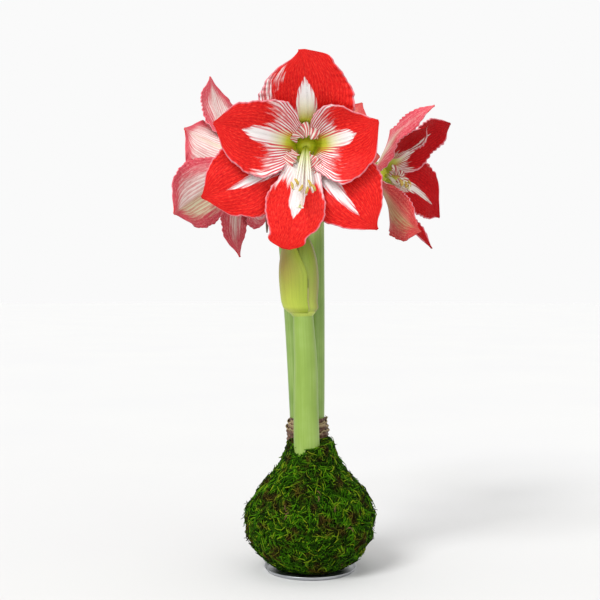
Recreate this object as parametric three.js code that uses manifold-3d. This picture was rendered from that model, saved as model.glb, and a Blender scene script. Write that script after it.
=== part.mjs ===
// An amaryllis grown from a bulb that is wrapped in a ball of moss and stands on a shallow metal
// dish. Three stems rise from the bulb: the front one still carries a closed bud, and each of the
// two behind it carries two open blooms of six tepals.
//
// Millimetres, +Z up. The origin is the middle of the dish's underside. The front is -Y.
import * as THREE from 'three';
import { mergeVertices } from 'three/addons/utils/BufferGeometryUtils.js';
import Module from 'manifold-3d';

const wasm = await Module();
wasm.setup();

// Driving dimensions
const gap = 0.35; // air kept between two pieces that touch
const dishRadius = 42;
const dishFoot = 38.5;
const dishHeight = 5;
const dishWall = 1.4;

const mossBottom = dishWall + gap;
const mossNeckLean = -7; // how far the top of the moss leans over the foot of the front stem
const mossNeckDepth = 9; // how much deeper than wide the moss is there

const bulbRadius = 45;
const bulbMiddle = 50; // height of the widest place
const neckRadius = 17.5;
const neckTop = 142;
const neckCentre = new THREE.Vector2(-2.5, 9);
const neckDepth = 1.06; // front to back, as a share of the width

const neckScaleThick = 0.9;
const neckScaleSides = 20;

const stemGap = 0.4;
const stemRoot = 84; // height inside the bulb at which the stems end
const umbelHeight = 372;
const tepalThick = 1.3;
const bractThick = 0.9;
const huskThick = 0.8;
const huskHalf = 5; // half the width of a dried bract

const colours = {
  dish: 0x9a9ea2,
  moss: 0x2f5e12,
  bulb: 0x7a5a40,
  scale: 0x8a6a50,
  stem: 0x86a64c,
  bractBrown: 0xa0904c,
  bractGreen: 0x94ad45,
  budFlowers: 0xd8b8a0,
  tepal: 0xd8202a,
  tube: 0x8da345,
  filament: 0xe9e8d4,
  style: 0xf2e4d8,
  husk: 0x6b4a2c,
};

function named(name, geometry, color, roughness = 0.6, metalness = 0) {
  const mesh = new THREE.Mesh(geometry, new THREE.MeshStandardMaterial({ color, roughness, metalness }));
  mesh.name = name;
  return mesh;
}

// Booleans on closed meshes
function solid(geometry) {
  const bare = geometry.clone();
  bare.deleteAttribute('normal');
  bare.deleteAttribute('uv');
  const merged = mergeVertices(bare, 1e-4);
  return new wasm.Manifold(new wasm.Mesh({
    numProp: 3,
    vertProperties: new Float32Array(merged.attributes.position.array),
    triVerts: new Uint32Array(merged.index.array),
  }));
}

function meshed(manifold) {
  const mesh = manifold.getMesh();
  const geometry = new THREE.BufferGeometry();
  geometry.setAttribute('position', new THREE.BufferAttribute(new Float32Array(mesh.vertProperties), 3));
  geometry.setIndex(new THREE.BufferAttribute(new Uint32Array(mesh.triVerts), 1));
  geometry.computeVertexNormals();
  return geometry;
}

// Values at even steps, read smoothly anywhere between them, with s from 0 to 1
function along(values, s) {
  const place = s * (values.length - 1);
  const i = Math.min(Math.floor(place), values.length - 2);
  const f = place - i;
  const slopeIn = (values[i + 1] - values[Math.max(i - 1, 0)]) / 2;
  const slopeOut = (values[Math.min(i + 2, values.length - 1)] - values[i]) / 2;
  const step = values[i + 1] - values[i];
  const square = 3 * step - 2 * slopeIn - slopeOut;
  const cube = slopeIn + slopeOut - 2 * step;
  return values[i] + f * (slopeIn + f * (square + f * cube));
}

function smooth(from, to, x) {
  const f = Math.min(Math.max((x - from) / (to - from), 0), 1);
  return f * f * (3 - 2 * f);
}

function shapeOf(points, triangles) {
  const geometry = new THREE.BufferGeometry().setFromPoints(points);
  geometry.setIndex(triangles);
  geometry.computeVertexNormals();
  return geometry;
}

// A closed body lofted over rings of points, all with the same number of points. Its ends are
// capped, or with joined the last ring meets the first one, as on a hoop.
function lofted(rings, joined = false) {
  const sides = rings[0].length;
  const points = rings.flat();
  const triangles = [];
  const bands = joined ? rings.length : rings.length - 1;
  for (let j = 0; j < bands; j++) {
    const next = ((j + 1) % rings.length) * sides;
    for (let i = 0; i < sides; i++) {
      const k = (i + 1) % sides;
      const a = j * sides;
      triangles.push(a + i, a + k, next + k, a + i, next + k, next + i);
    }
  }
  if (joined) return shapeOf(points, triangles);
  for (const [j, turned] of [[0, true], [rings.length - 1, false]]) {
    const middle = new THREE.Vector3();
    rings[j].forEach((p) => middle.addScaledVector(p, 1 / sides));
    points.push(middle);
    for (let i = 0; i < sides; i++) {
      const a = j * sides + i;
      const b = j * sides + (i + 1) % sides;
      triangles.push(points.length - 1, turned ? b : a, turned ? a : b);
    }
  }
  return shapeOf(points, triangles);
}

// Rings square to a route that passes through stations: each gives its middle, the way the route
// runs there, and the half width and half depth of the ring
function ringsAlong(stations, across, sides) {
  let wide = across.clone();
  return stations.map(({ middle, way, half }) => {
    wide = wide.clone().addScaledVector(way, -wide.dot(way)).normalize();
    const deep = new THREE.Vector3().crossVectors(way, wide);
    const ring = [];
    for (let i = 0; i < sides; i++) {
      const turn = (2 * Math.PI * i) / sides;
      ring.push(middle.clone()
        .addScaledVector(wide, half[0] * Math.cos(turn))
        .addScaledVector(deep, half[1] * Math.sin(turn)));
    }
    return ring;
  });
}

// A rod along a curve: half(t) gives its half width and half depth at t from 0 to 1
function rod(curve, half, sides, steps) {
  const stations = [];
  for (let j = 0; j <= steps; j++) {
    const t = j / steps;
    stations.push({ middle: curve.getPoint(t), way: curve.getTangent(t), half: half(t) });
  }
  const lengthwise = Math.abs(stations[0].way.x) > 0.9;
  const across = new THREE.Vector3(lengthwise ? 0 : 1, lengthwise ? 1 : 0, 0);
  return lofted(ringsAlong(stations, across, sides));
}

// A thin blade with the same triangles on both faces. place(u, s) gives its middle surface, with
// u from -1 to 1 across it and s from 0 to 1 along it. The rows are closer together at the far end.
function blade(place, columns, rows, thick) {
  const lift = thick / 2;
  const small = 1e-3;
  const front = [];
  const back = [];
  for (let j = 0; j <= rows; j++) {
    const s = 1 - (1 - j / rows) ** 1.25;
    for (let i = 0; i <= columns; i++) {
      const u = (2 * i) / columns - 1;
      const here = place(u, s);
      const su = Math.min(s, 1 - small);
      const du = place(Math.min(u + small, 1), su).sub(place(Math.max(u - small, -1), su));
      const ds = place(u, Math.min(s + small, 1)).sub(place(u, Math.max(s - small, 0)));
      const normal = du.cross(ds).normalize().multiplyScalar(lift);
      front.push(here.clone().add(normal));
      back.push(here.clone().sub(normal));
    }
  }
  const width = columns + 1;
  const half = front.length;
  const triangles = [];
  for (let j = 0; j < rows; j++) {
    for (let i = 0; i < columns; i++) {
      const a = j * width + i;
      const quad = [a, a + 1, a + 1 + width, a, a + 1 + width, a + width];
      triangles.push(...quad, ...quad.map((k) => k + half).reverse());
    }
  }
  const rim = [];
  for (let i = 0; i < columns; i++) rim.push(i);
  for (let j = 0; j < rows; j++) rim.push(j * width + columns);
  for (let i = columns; i > 0; i--) rim.push(rows * width + i);
  for (let j = rows; j > 0; j--) rim.push(j * width);
  rim.forEach((a, k) => {
    const b = rim[(k + 1) % rim.length];
    triangles.push(a, a + half, b + half, a, b + half, b);
  });
  return shapeOf([...front, ...back], triangles);
}

// Dish
function dish() {
  const profile = [
    [0, 0],
    [dishFoot, 0],
    [dishFoot + 1.8, 0.9],
    [dishRadius, dishHeight - 0.4],
    [dishRadius - 0.5, dishHeight],
    [dishRadius - 1.4, dishHeight - 0.4],
    [dishFoot + 0.6, dishWall + 0.5],
    [dishFoot - 0.6, dishWall],
    [0, dishWall],
  ];
  const round = new THREE.LatheGeometry(profile.map(([r, z]) => new THREE.Vector2(r, z)), 28);
  return named('dish', round.rotateX(Math.PI / 2), colours.dish, 0.35, 1);
}

// Stems, as a curve each and its half width and half depth, root first
const stems = {
  stem_front: {
    route: [[-2.5, -16, stemRoot], [-3, -24, 104], [-3.5, -28, 120], [-4.7, -28.5, 200], [-7, -28, 243]],
    half: [[11, 11], [12, 12], [11.8, 11.4], [10.6, 10.4], [9.3, 9.3]],
  },
  stem_right: {
    route: [[4.5, 10, stemRoot], [5.6, 10, 145], [5.4, 11, 230], [5, 12, 310], [5, 12, umbelHeight]],
    half: [[7.4, 8.5], [8, 9.5], [8.5, 9.6], [8.5, 9.2], [8, 8.6]],
  },
  stem_left: {
    route: [[-10, 10, stemRoot], [-11.6, 11, 140], [-16, 13, 235], [-23, 15, 322], [-28, 16, 362],
      [-28.3, 16, umbelHeight]],
    half: [[7, 8.5], [7.8, 9.5], [8.5, 9.6], [8.5, 9.4], [8.2, 9], [8, 8.6]],
  },
};

function stemShape(stem, extra = 0) {
  const curve = new THREE.CatmullRomCurve3(stem.route.map((p) => new THREE.Vector3(...p)));
  const half = (t) => [0, 1].map((k) => along(stem.half.map((h) => h[k]), t) + extra);
  return rod(curve, half, 12, 8);
}

// Rings round the upright axis, one for each radius and height of a profile
function ovalRings(profile, sides, shape) {
  return profile.map(([radius, z]) => {
    const ring = [];
    for (let i = 0; i < sides; i++) ring.push(shape(radius, z, (2 * Math.PI * i) / sides));
    return ring;
  });
}

// Bulb with its bare neck
const bulbProfile = [
  [20, 9], [34, 16], [42, 28], [bulbRadius, bulbMiddle], [42, 66], [34, 80], [26, 92], [21, 104],
  [neckRadius + 1.2, 116], [neckRadius, 128], [neckRadius - 0.4, neckTop],
];

// With extra it is the larger shape that is cut from the moss, and its top reaches out of the moss
function bulbShape(extra) {
  const bottom = bulbProfile[0][1];
  return lofted(ovalRings(bulbProfile, 22, (radius, z, turn) => {
    const upward = smooth(60, 118, z);
    let height = z;
    if (z === bottom) height -= extra;
    if (z === neckTop && extra > 0) height += 30;
    return new THREE.Vector3(
      neckCentre.x * upward + (radius + extra) * Math.cos(turn),
      neckCentre.y * upward + (radius + extra) * Math.sin(turn) * THREE.MathUtils.lerp(1, neckDepth, upward),
      height,
    );
  }));
}

const mossProfile = [
  [34, mossBottom], [36, 3.6], [43, 8], [49.5, 16], [55, 26], [59, 37], [60, 50], [57, 62], [51, 73],
  [44, 82], [36, 91], [30, 99], [27, 107], [25, 115], [22.5, 124],
];

// Lumps on the moss, as waves round it and up it
function lumps(turn, z) {
  return 1.5 * Math.sin(5 * turn + 0.11 * z) * Math.sin(0.17 * z + 1.3)
    + 1.1 * Math.sin(9 * turn - 0.19 * z + 2.1) + 0.8 * Math.sin(14 * turn + 0.31 * z);
}

function mossShape() {
  return lofted(ovalRings(mossProfile, 36, (radius, z, turn) => {
    const upward = smooth(70, 112, z);
    const grown = radius + lumps(turn, z) * smooth(5, 18, z) * (1 - 0.6 * upward);
    const slope = -5 * smooth(92, 124, z) * Math.max(0, -Math.sin(turn));
    return new THREE.Vector3(
      grown * Math.cos(turn),
      mossNeckLean * upward + (grown + mossNeckDepth * upward) * Math.sin(turn),
      z + slope,
    );
  }));
}

// Papery brown scales round the neck: hoops that stand off it, with a torn upper edge
function neckScale(name, bottom, top, stand, phase, color) {
  const hoop = (z, radius, torn) => {
    const points = [];
    for (let i = 0; i < neckScaleSides; i++) {
      const turn = (2 * Math.PI * i) / neckScaleSides;
      const edge = torn * (1.6 * Math.sin(3 * turn + phase) + 1.1 * Math.sin(7 * turn - phase));
      const creased = radius + 0.35 * Math.sin(9 * turn + phase);
      points.push(new THREE.Vector3(
        neckCentre.x + creased * Math.cos(turn),
        neckCentre.y + creased * Math.sin(turn) * neckDepth,
        z + edge,
      ));
    }
    return points;
  };
  const inner = neckRadius + stand;
  const outer = inner + neckScaleThick;
  const middle = (bottom + top) / 2;
  const hoops = [
    hoop(bottom, inner, 0),
    hoop(bottom, outer, 0),
    hoop(middle, outer + 0.7, 0.4),
    hoop(top, outer + 0.2, 1),
    hoop(top, inner + 0.2, 1),
    hoop(middle, inner + 0.7, 0.4),
  ];
  return named(name, lofted(hoops, true), color, 0.75);
}

// Closed bud on the front stem: two bracts folded round the young flowers
const bud = {
  foot: new THREE.Vector3(-7.2, -28, 244),
  tip: new THREE.Vector3(-9.5, -27, 326),
  half: [9.6, 14.6, 17.4, 17.8, 16.2, 12.6, 8, 3.2],
  depth: 0.86, // front to back, as a share of the width
};

function budPlace(turn, s, inward) {
  const radius = Math.max(along(bud.half, s) - inward, 0.6);
  const bulge = 1.6 * Math.sin(Math.PI * s);
  return new THREE.Vector3().lerpVectors(bud.foot, bud.tip, s).add(new THREE.Vector3(
    radius * Math.cos(turn) - bulge,
    radius * Math.sin(turn) * bud.depth,
    0,
  ));
}

function budBract(name, from, to, inward, color) {
  const first = THREE.MathUtils.degToRad(from);
  const last = THREE.MathUtils.degToRad(to);
  const place = (u, s) => {
    const narrow = 1 - 0.25 * smooth(0.55, 1, s);
    const turn = (first + last) / 2 - (u * narrow * (last - first)) / 2;
    return budPlace(turn, 0.01 + 0.97 * s, inward);
  };
  return named(name, blade(place, 10, 9, bractThick), color, 0.55);
}

// The young flowers inside, still one slim body
function budFlowers() {
  const sides = 14;
  const steps = 9;
  const rings = [];
  for (let j = 0; j <= steps; j++) {
    const s = THREE.MathUtils.lerp(0.02, 0.794, j / steps);
    const ring = [];
    for (let i = 0; i < sides; i++) ring.push(budPlace((2 * Math.PI * i) / sides, s, 3.4));
    rings.push(ring);
  }
  return named('bud_flowers', lofted(rings), colours.budFlowers, 0.5);
}

// Tepals. lean gives how many degrees a tepal leans out from the bloom's axis, at even steps over
// flareLength of its rib. left and right are its half widths at even steps from root to tip, as seen
// from the bloom's front. clock is where it points, clockwise from the top.
const flareLength = 105;
const tepalDefaults = {
  length: 106,
  lean: [20, 36, 52, 67, 83, 98],
  bend: 0, // degrees it swings round the axis towards its tip
  cup: 2, // how much more than the funnel's own roundness its section is bent, in 1/m
  twist: 0, // degrees its outer part is turned about its rib
  wave: 1.2, // height of the waves along its margins
  waves: 2.5,
  phase: 0,
};

// The outer three stand behind the inner three: they lean this much further out and are bent less
const outerLean = 5;
const outerCup = -5;
const innerRoot = 8.4; // radius at which they are rooted round the mouth of the tube
const outerRoot = 11.2;

// The middle surface of a tepal: its rib is stepped outwards from the mouth of the tube, and its
// section is bent so that the margins follow the funnel
function tepalPlace(given, inner) {
  const t = { ...tepalDefaults, ...given };
  const behind = inner ? 0 : 1;
  const steps = 40;
  const rib = [];
  let radius = inner ? innerRoot : outerRoot;
  let height = 0.6 + tepalThick / 2;
  for (let k = 0; k <= steps; k++) {
    const s = k / steps;
    const out = along(t.lean, (s * t.length) / flareLength) + outerLean * behind;
    const lean = THREE.MathUtils.degToRad(out);
    rib.push([radius, height, lean]);
    radius += (Math.sin(lean) * t.length) / steps;
    height += (Math.cos(lean) * t.length) / steps;
  }
  return (u, s) => {
    const k = Math.min(Math.floor(s * steps), steps - 1);
    const f = s * steps - k;
    const [r, z, lean] = [0, 1, 2].map((n) => rib[k][n] + f * (rib[k + 1][n] - rib[k][n]));
    const clock = THREE.MathUtils.degToRad(t.clock + t.bend * s * s);
    const outward = new THREE.Vector3(Math.sin(clock), Math.cos(clock), 0);
    const axis = new THREE.Vector3(0, 0, 1);
    const ribWay = outward.clone().multiplyScalar(Math.sin(lean)).addScaledVector(axis, Math.cos(lean));
    const side = new THREE.Vector3(Math.cos(clock), -Math.sin(clock), 0);
    const inward = outward.clone().multiplyScalar(-Math.cos(lean)).addScaledVector(axis, Math.sin(lean));
    const twist = THREE.MathUtils.degToRad(t.twist * smooth(0, 0.6, s));
    side.applyAxisAngle(ribWay, twist);
    inward.applyAxisAngle(ribWay, twist);

    const rounded = (1 - smooth(0.72, 1.02, s) ** 1.6) ** 0.75;
    const half = Math.max(along(u < 0 ? t.left : t.right, s) * rounded, 0.9);
    const d = u * half;
    const curve = Math.cos(lean) / r + ((t.cup + outerCup * behind) / 1000) * smooth(0.1, 0.6, s);
    const flat = Math.abs(curve) < 1e-5;
    const aside = flat ? d : Math.sin(curve * d) / curve;
    const raised = flat ? 0 : (1 - Math.cos(curve * d)) / curve;
    const grown = Math.sin(Math.PI * Math.min(s, 1)) ** 0.6;
    const beat = t.waves * s + t.phase + (u < 0 ? 0.37 : 0);
    const wave = t.wave * Math.abs(u) ** 2.5 * grown * Math.sin(2 * Math.PI * beat);
    return outward.multiplyScalar(r)
      .addScaledVector(axis, z)
      .addScaledVector(side, aside)
      .addScaledVector(inward, raised + wave);
  };
}

// Six evenly set tepals that share base, where own may give each one something else
function sixTepals(base, own) {
  return [0, 1, 2, 3, 4, 5].map((k) => ({ clock: 60 * k, phase: 0.29 * k, ...base, ...own[k] }));
}

const broad = [5.5, 15, 29, 37, 31, 17];
const slim = [5.5, 14, 25, 29, 24, 13];

const blooms = [
  {
    name: 'bloom_front',
    stem: 'stem_right',
    foot: [-0.5, -4.2],
    mouth: [-4.4, -47, 396],
    facing: [-0.006, -0.99, -0.127],
    tepals: [
      { clock: 2, length: 88, bend: -6,
        left: [7, 13, 20, 29, 38, 41, 36, 29, 25, 16], right: [7, 13, 21, 31, 41, 42, 38, 33, 34, 20] },
      { clock: 81, length: 79, bend: -10,
        left: [7, 14, 21, 28, 33, 32, 26, 17, 14, 14], right: [7, 16, 25, 34, 38, 43, 39, 33, 35, 30] },
      { clock: 148, length: 102, bend: -9,
        left: [7, 14, 22, 32, 38, 41, 37, 29, 28, 16], right: [7, 13, 19, 24, 25, 25, 26, 20, 17, 14] },
      { clock: 189, length: 104, bend: 2,
        left: [5, 8, 11, 15, 20, 25, 26, 24, 23, 55], right: [5, 8, 11, 14, 20, 26, 26, 23, 27, 70] },
      { clock: 236, length: 108, bend: 8,
        left: [7, 13, 18, 24, 27, 30, 33, 27, 27, 18], right: [7, 12, 18, 24, 29, 33, 34, 29, 26, 20] },
      { clock: 285, length: 95, bend: -1,
        left: [6, 12, 20, 29, 37, 38, 34, 28, 26, 20], right: [6, 13, 22, 30, 34, 31, 27, 23, 26, 24] },
    ],
    columns: 8,
    forward: 1,
    droop: 1,
  },
  {
    name: 'bloom_right',
    stem: 'stem_right',
    foot: [4.2, 2.2],
    mouth: [65, 4, 375],
    facing: [0.88, -0.47, 0],
    tepals: [
      { clock: 302, length: 106, bend: 7, lean: [45, 46, 43, 36, 24, 16], twist: 18,
        left: [6, 14, 15, 10, 9, 9, 8], right: [7, 14, 13, 9, 8, 8, 7] },
      { clock: 31, length: 84, bend: 14, lean: [35, 44, 52, 60, 68, 76],
        left: [4, 6, 12, 19, 21, 14, 12], right: [5, 10, 19, 22, 19, 17, 14], phase: 0.3 },
      { clock: 103, length: 76, bend: 16, lean: [45, 54, 60, 64, 68, 70],
        left: [6, 13, 21, 29, 33, 30, 20], right: [6, 12, 20, 24, 22, 16, 12], phase: 0.6 },
      { clock: 202, length: 88, bend: -9, lean: [36, 44, 48, 52, 56, 60], twist: 25,
        left: [5, 12, 18, 18, 16, 13, 9], right: [5, 12, 18, 18, 16, 13, 9], phase: 0.9 },
      { clock: 232, length: 98, bend: -6, lean: [45, 47, 46, 42, 35, 26], twist: -32,
        left: [7, 20, 33, 37, 28, 17, 15], right: [5, 9, 11, 14, 19, 25, 30], phase: 0.2 },
      { clock: 334, length: 70, bend: -10, lean: [29, 33, 35, 35, 34, 31], twist: -50,
        left: [5, 8, 13, 16, 16, 17, 10], right: [4.5, 6, 8, 12, 13, 11, 7], phase: 0.5 },
    ],
    columns: 6,
    forward: 0.5,
    droop: 0.5,
  },
  {
    name: 'bloom_left',
    stem: 'stem_left',
    foot: [-3.8, 1.5],
    mouth: [-50, 38, 396],
    facing: [-0.8, 0.55, -0.22],
    tepals: sixTepals({ lean: [20, 35, 50, 65, 80, 94], left: broad, right: broad }, [
      { clock: -4, length: 108, left: [6, 17, 34, 40, 32, 17], right: [6, 14, 22, 23, 17, 9] },
      { clock: 48, length: 74 },
      { length: 108, left: [6, 16, 28, 31, 25, 12], right: [6, 17, 30, 34, 27, 13] },
      { clock: 188, length: 104, left: [5, 12, 18, 18, 13, 7], right: [5, 12, 18, 18, 13, 7], twist: 15 },
      { length: 92 },
      { clock: 294, length: 88, left: slim, right: slim },
    ]),
    columns: 6,
    forward: 1,
    droop: 0.8,
  },
  {
    name: 'bloom_back',
    stem: 'stem_left',
    foot: [3.8, 2.5],
    mouth: [2, 66, 398],
    facing: [0.4, 0.9, 0.12],
    tepals: sixTepals({ length: 84, lean: [20, 32, 44, 56, 68, 78], left: slim, right: slim }, [
      { clock: 28 },
      { clock: 88 },
      { clock: 148 },
      { clock: 208 },
      { clock: 268, length: 66 },
      { clock: 328 },
    ]),
    columns: 6,
    forward: 0.8,
    droop: 0.6,
  },
];

// Tube, seed pod and flower stalk in one piece, hollow at the mouth
const stalkRadius = 3.3;
const podAndTube = 32; // length of the two together
const podRadii = [4.6, 6.2, 6.4, 5.4, 5.2, 7.4, 10, 12.4]; // at even steps, the mouth last
const hollowRadius = 9.2;
const hollowDepth = 9;

function flowerStalk(bloom, facing) {
  const mouth = new THREE.Vector3(...bloom.mouth);
  const stem = stems[bloom.stem].route.at(-1);
  const foot = new THREE.Vector3(stem[0] + bloom.foot[0], stem[1] + bloom.foot[1], stem[2] + gap);
  const podFoot = mouth.clone().addScaledVector(facing, -podAndTube);
  const rise = Math.max(foot.distanceTo(podFoot) * 0.4, 6);
  const stalk = new THREE.CubicBezierCurve3(
    foot,
    foot.clone().add(new THREE.Vector3(0, 0, rise)),
    podFoot.clone().addScaledVector(facing, -rise),
    podFoot,
  );
  const stations = [];
  for (let k = 0; k <= 6; k++) {
    stations.push({ middle: stalk.getPoint(k / 6), way: stalk.getTangent(k / 6), radius: stalkRadius });
  }
  podRadii.forEach((radius, k) => {
    const middle = new THREE.Vector3().lerpVectors(podFoot, mouth, (k + 1) / podRadii.length);
    stations.push({ middle, way: facing, radius });
  });
  const floor = mouth.clone().addScaledVector(facing, -hollowDepth);
  stations.push({ middle: mouth, way: facing, radius: hollowRadius });
  stations.push({ middle: floor, way: facing, radius: hollowRadius - 0.8 });
  stations.forEach((station) => { station.half = [station.radius, station.radius]; });
  const across = new THREE.Vector3(0, 0, 1).cross(facing).normalize();
  const rings = ringsAlong(stations, across, 10);
  return named(`${bloom.name}_stalk`, lofted(rings), colours.tube, 0.5);
}

// Six filaments on one ring at the bottom of the tube, which hang forward and end in their anthers.
// root is where each starts, clockwise from the top, and end is seen from the bloom's front.
const filaments = [
  { root: 330, end: [-8, -30, 64] },
  { root: 270, end: [-12, -33, 66] },
  { root: 210, end: [-4.5, -35, 70] },
  { root: 150, end: [0.5, -37, 66] },
  { root: 90, end: [6.5, -35, 65] },
  { root: 30, end: [3, -31, 72] },
];

function spindle(middle, way, length, thick) {
  const route = new THREE.LineCurve3(
    middle.clone().addScaledVector(way, -length / 2),
    middle.clone().addScaledVector(way, length / 2),
  );
  const half = (t) => Array(2).fill(thick * (0.45 + 0.55 * Math.sin(Math.PI * t)));
  return rod(route, half, 4, 2);
}

function stamens(bloom) {
  const floor = -hollowDepth + gap;
  const section = [[3.4, 0], [7.4, 0], [7.4, 2.6], [3.4, 2.6], [3.4, 0]];
  const outline = section.map(([radius, up]) => new THREE.Vector2(radius, floor + up));
  const ring = new THREE.LatheGeometry(outline, 9).rotateX(Math.PI / 2);
  let joined = solid(ring);
  for (const { root, end: [x, y, z] } of filaments) {
    const turn = THREE.MathUtils.degToRad(root);
    const foot = new THREE.Vector3(5.4 * Math.sin(turn), 5.4 * Math.cos(turn), floor + 1.2);
    const end = new THREE.Vector3(x, y * bloom.droop, z * bloom.forward);
    const route = new THREE.CatmullRomCurve3([
      foot,
      new THREE.Vector3(foot.x * 0.75 + x * 0.1, foot.y * 0.75 - 1, 8),
      new THREE.Vector3(x * 0.5, y * 0.36 * bloom.droop, 30 * bloom.forward),
      new THREE.Vector3(x * 0.85, (y - 3) * bloom.droop, 52 * bloom.forward),
      end,
    ]);
    joined = joined.add(solid(rod(route, (t) => [1 - 0.3 * t, 1 - 0.3 * t], 3, 7)));
    const lie = new THREE.Vector3(0.8, 0.3 + 0.02 * x, 0.4).normalize();
    joined = joined.add(solid(spindle(end, lie, 6, 1.5)));
  }
  return named(`${bloom.name}_stamens`, meshed(joined), colours.filament, 0.55);
}

// The style, which hangs between the two lowest filaments, and its three lobes
function pistil(bloom) {
  const floor = -hollowDepth + gap;
  const hang = ([x, y, z]) => new THREE.Vector3(x, y * bloom.droop, z * bloom.forward);
  const tip = hang([-5, -50, 76]);
  const route = new THREE.CatmullRomCurve3([
    new THREE.Vector3(0, -0.8, floor),
    new THREE.Vector3(0, -1.9, -5),
    new THREE.Vector3(0, -5.8, 2.5),
    new THREE.Vector3(-0.5, -9.5, 14),
    hang([-2, -26, 36]),
    hang([-3.5, -50, 57]),
    tip,
  ]);
  let joined = solid(rod(route, (t) => [0.95 + 0.25 * t, 0.95 + 0.25 * t], 4, 10));
  for (const turn of [90, 210, 330]) {
    const angle = THREE.MathUtils.degToRad(turn);
    const lobe = new THREE.Vector3(Math.cos(angle), Math.sin(angle), 0.7).normalize();
    joined = joined.add(solid(spindle(tip.clone().addScaledVector(lobe, 1.6), lobe, 5, 1.1)));
  }
  return named(`${bloom.name}_pistil`, meshed(joined), colours.style, 0.5);
}

// A bloom's pieces. Every second tepal belongs to the inner three.
function bloomPieces(bloom) {
  const facing = new THREE.Vector3(...bloom.facing).normalize();
  const across = new THREE.Vector3(0, 0, 1).cross(facing).normalize();
  const up = new THREE.Vector3().crossVectors(facing, across);
  const head = new THREE.Group();
  head.position.set(...bloom.mouth);
  head.quaternion.setFromRotationMatrix(new THREE.Matrix4().makeBasis(across, up, facing));
  bloom.tepals.forEach((tepal, k) => {
    const shape = blade(tepalPlace(tepal, k % 2 === 1), bloom.columns, 9, tepalThick);
    head.add(named(`${bloom.name}_tepal_${k + 1}`, shape, colours.tepal, 0.5));
  });
  head.add(stamens(bloom), pistil(bloom));
  const pieces = new THREE.Group();
  pieces.add(flowerStalk(bloom, facing), head);
  return pieces;
}

// Dried bracts that once wrapped the blooms, hanging from the top of each back stem. The places are
// measured from the middle of the stem's top.
const husks = {
  husk_left: {
    stem: 'stem_left',
    hanging: [[-9.5, 0, 1], [-13, -6, -1], [-14.5, -12, -22], [-13, -15, -52]],
  },
  husk_right: {
    stem: 'stem_right',
    hanging: [[1, 9.8, 1], [3, 14, -1], [4, 16, -20], [3, 16, -44]],
  },
};

function husk(name, stem, hanging) {
  const [x, y, z] = stem.route.at(-1);
  const route = hanging.map((p) => new THREE.Vector3(p[0] + x, p[1] + y, p[2] + z));
  const curve = new THREE.CatmullRomCurve3(route);
  const outward = new THREE.Vector3(hanging[1][0], hanging[1][1], 0).normalize();
  const place = (u, s) => {
    const way = curve.getTangent(s);
    const side = new THREE.Vector3().crossVectors(outward, way).normalize();
    const out = new THREE.Vector3().crossVectors(way, side);
    const half = Math.max(huskHalf * Math.sin(Math.PI * (0.25 + 0.72 * s)), 0.8);
    return curve.getPoint(s).addScaledVector(side, u * half).addScaledVector(out, -0.5 * half * u * u);
  };
  return named(name, blade(place, 4, 8, huskThick), colours.husk, 0.85);
}

// The bulb is bored for the three stems, and the moss is cut round the bulb and the front stem
function buildPlant() {
  const plant = new THREE.Group();
  plant.add(dish());

  const bores = Object.values(stems).map((stem) => solid(stemShape(stem, stemGap)));
  let bulb = solid(bulbShape(0));
  bores.forEach((bore) => { bulb = bulb.subtract(bore); });
  plant.add(named('bulb', meshed(bulb), colours.bulb, 0.7));

  const [frontBore] = bores;
  const moss = solid(mossShape()).subtract(solid(bulbShape(gap))).subtract(frontBore);
  plant.add(named('moss', meshed(moss), colours.moss, 0.95));

  for (const [name, stem] of Object.entries(stems)) {
    plant.add(named(name, stemShape(stem), colours.stem, 0.5));
  }
  plant.add(neckScale('neck_scale_inner', 129, 146, gap, 1, colours.bulb));
  plant.add(neckScale('neck_scale_outer', 127, 138, 3, 4, colours.scale));
  for (const [name, { stem, hanging }] of Object.entries(husks)) {
    plant.add(husk(name, stems[stem], hanging));
  }
  plant.add(budBract('bud_bract_left', 72, 292, 0, colours.bractBrown));
  plant.add(budBract('bud_bract_right', -98, 100, 1.7, colours.bractGreen));
  plant.add(budFlowers());
  blooms.forEach((bloom) => plant.add(bloomPieces(bloom)));
  return plant;
}

export default buildPlant();
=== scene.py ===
import bpy
import bmesh
import math
import random
from mathutils import Matrix, Vector, noise


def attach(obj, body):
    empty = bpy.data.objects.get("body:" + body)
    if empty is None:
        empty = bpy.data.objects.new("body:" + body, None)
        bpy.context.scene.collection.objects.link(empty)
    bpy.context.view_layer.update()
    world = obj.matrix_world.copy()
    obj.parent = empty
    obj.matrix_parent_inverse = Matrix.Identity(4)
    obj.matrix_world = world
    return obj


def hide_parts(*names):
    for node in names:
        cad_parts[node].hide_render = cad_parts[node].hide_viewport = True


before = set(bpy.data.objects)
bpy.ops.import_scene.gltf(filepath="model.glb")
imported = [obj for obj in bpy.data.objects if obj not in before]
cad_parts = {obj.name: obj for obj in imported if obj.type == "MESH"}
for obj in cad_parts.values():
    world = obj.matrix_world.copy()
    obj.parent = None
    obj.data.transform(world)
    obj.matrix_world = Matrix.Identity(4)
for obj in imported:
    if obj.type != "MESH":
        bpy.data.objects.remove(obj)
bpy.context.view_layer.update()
mm = 0.001

# An amaryllis on a moss ball. Places and sizes are in millimetres in the part's own frame, +Z up,
# with the front at -Y, and every mesh is brought to metres as its last step.


# shared tools

def along(values, s):
    # values at even steps, read smoothly anywhere between them
    place = min(max(s, 0.0), 1.0) * (len(values) - 1)
    i = min(int(place), len(values) - 2)
    f = place - i
    slopeIn = (values[i + 1] - values[max(i - 1, 0)]) / 2
    slopeOut = (values[min(i + 2, len(values) - 1)] - values[i]) / 2
    step = values[i + 1] - values[i]
    square = 3 * step - 2 * slopeIn - slopeOut
    cube = slopeIn + slopeOut - 2 * step
    return values[i] + f * (slopeIn + f * (square + f * cube))


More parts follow.
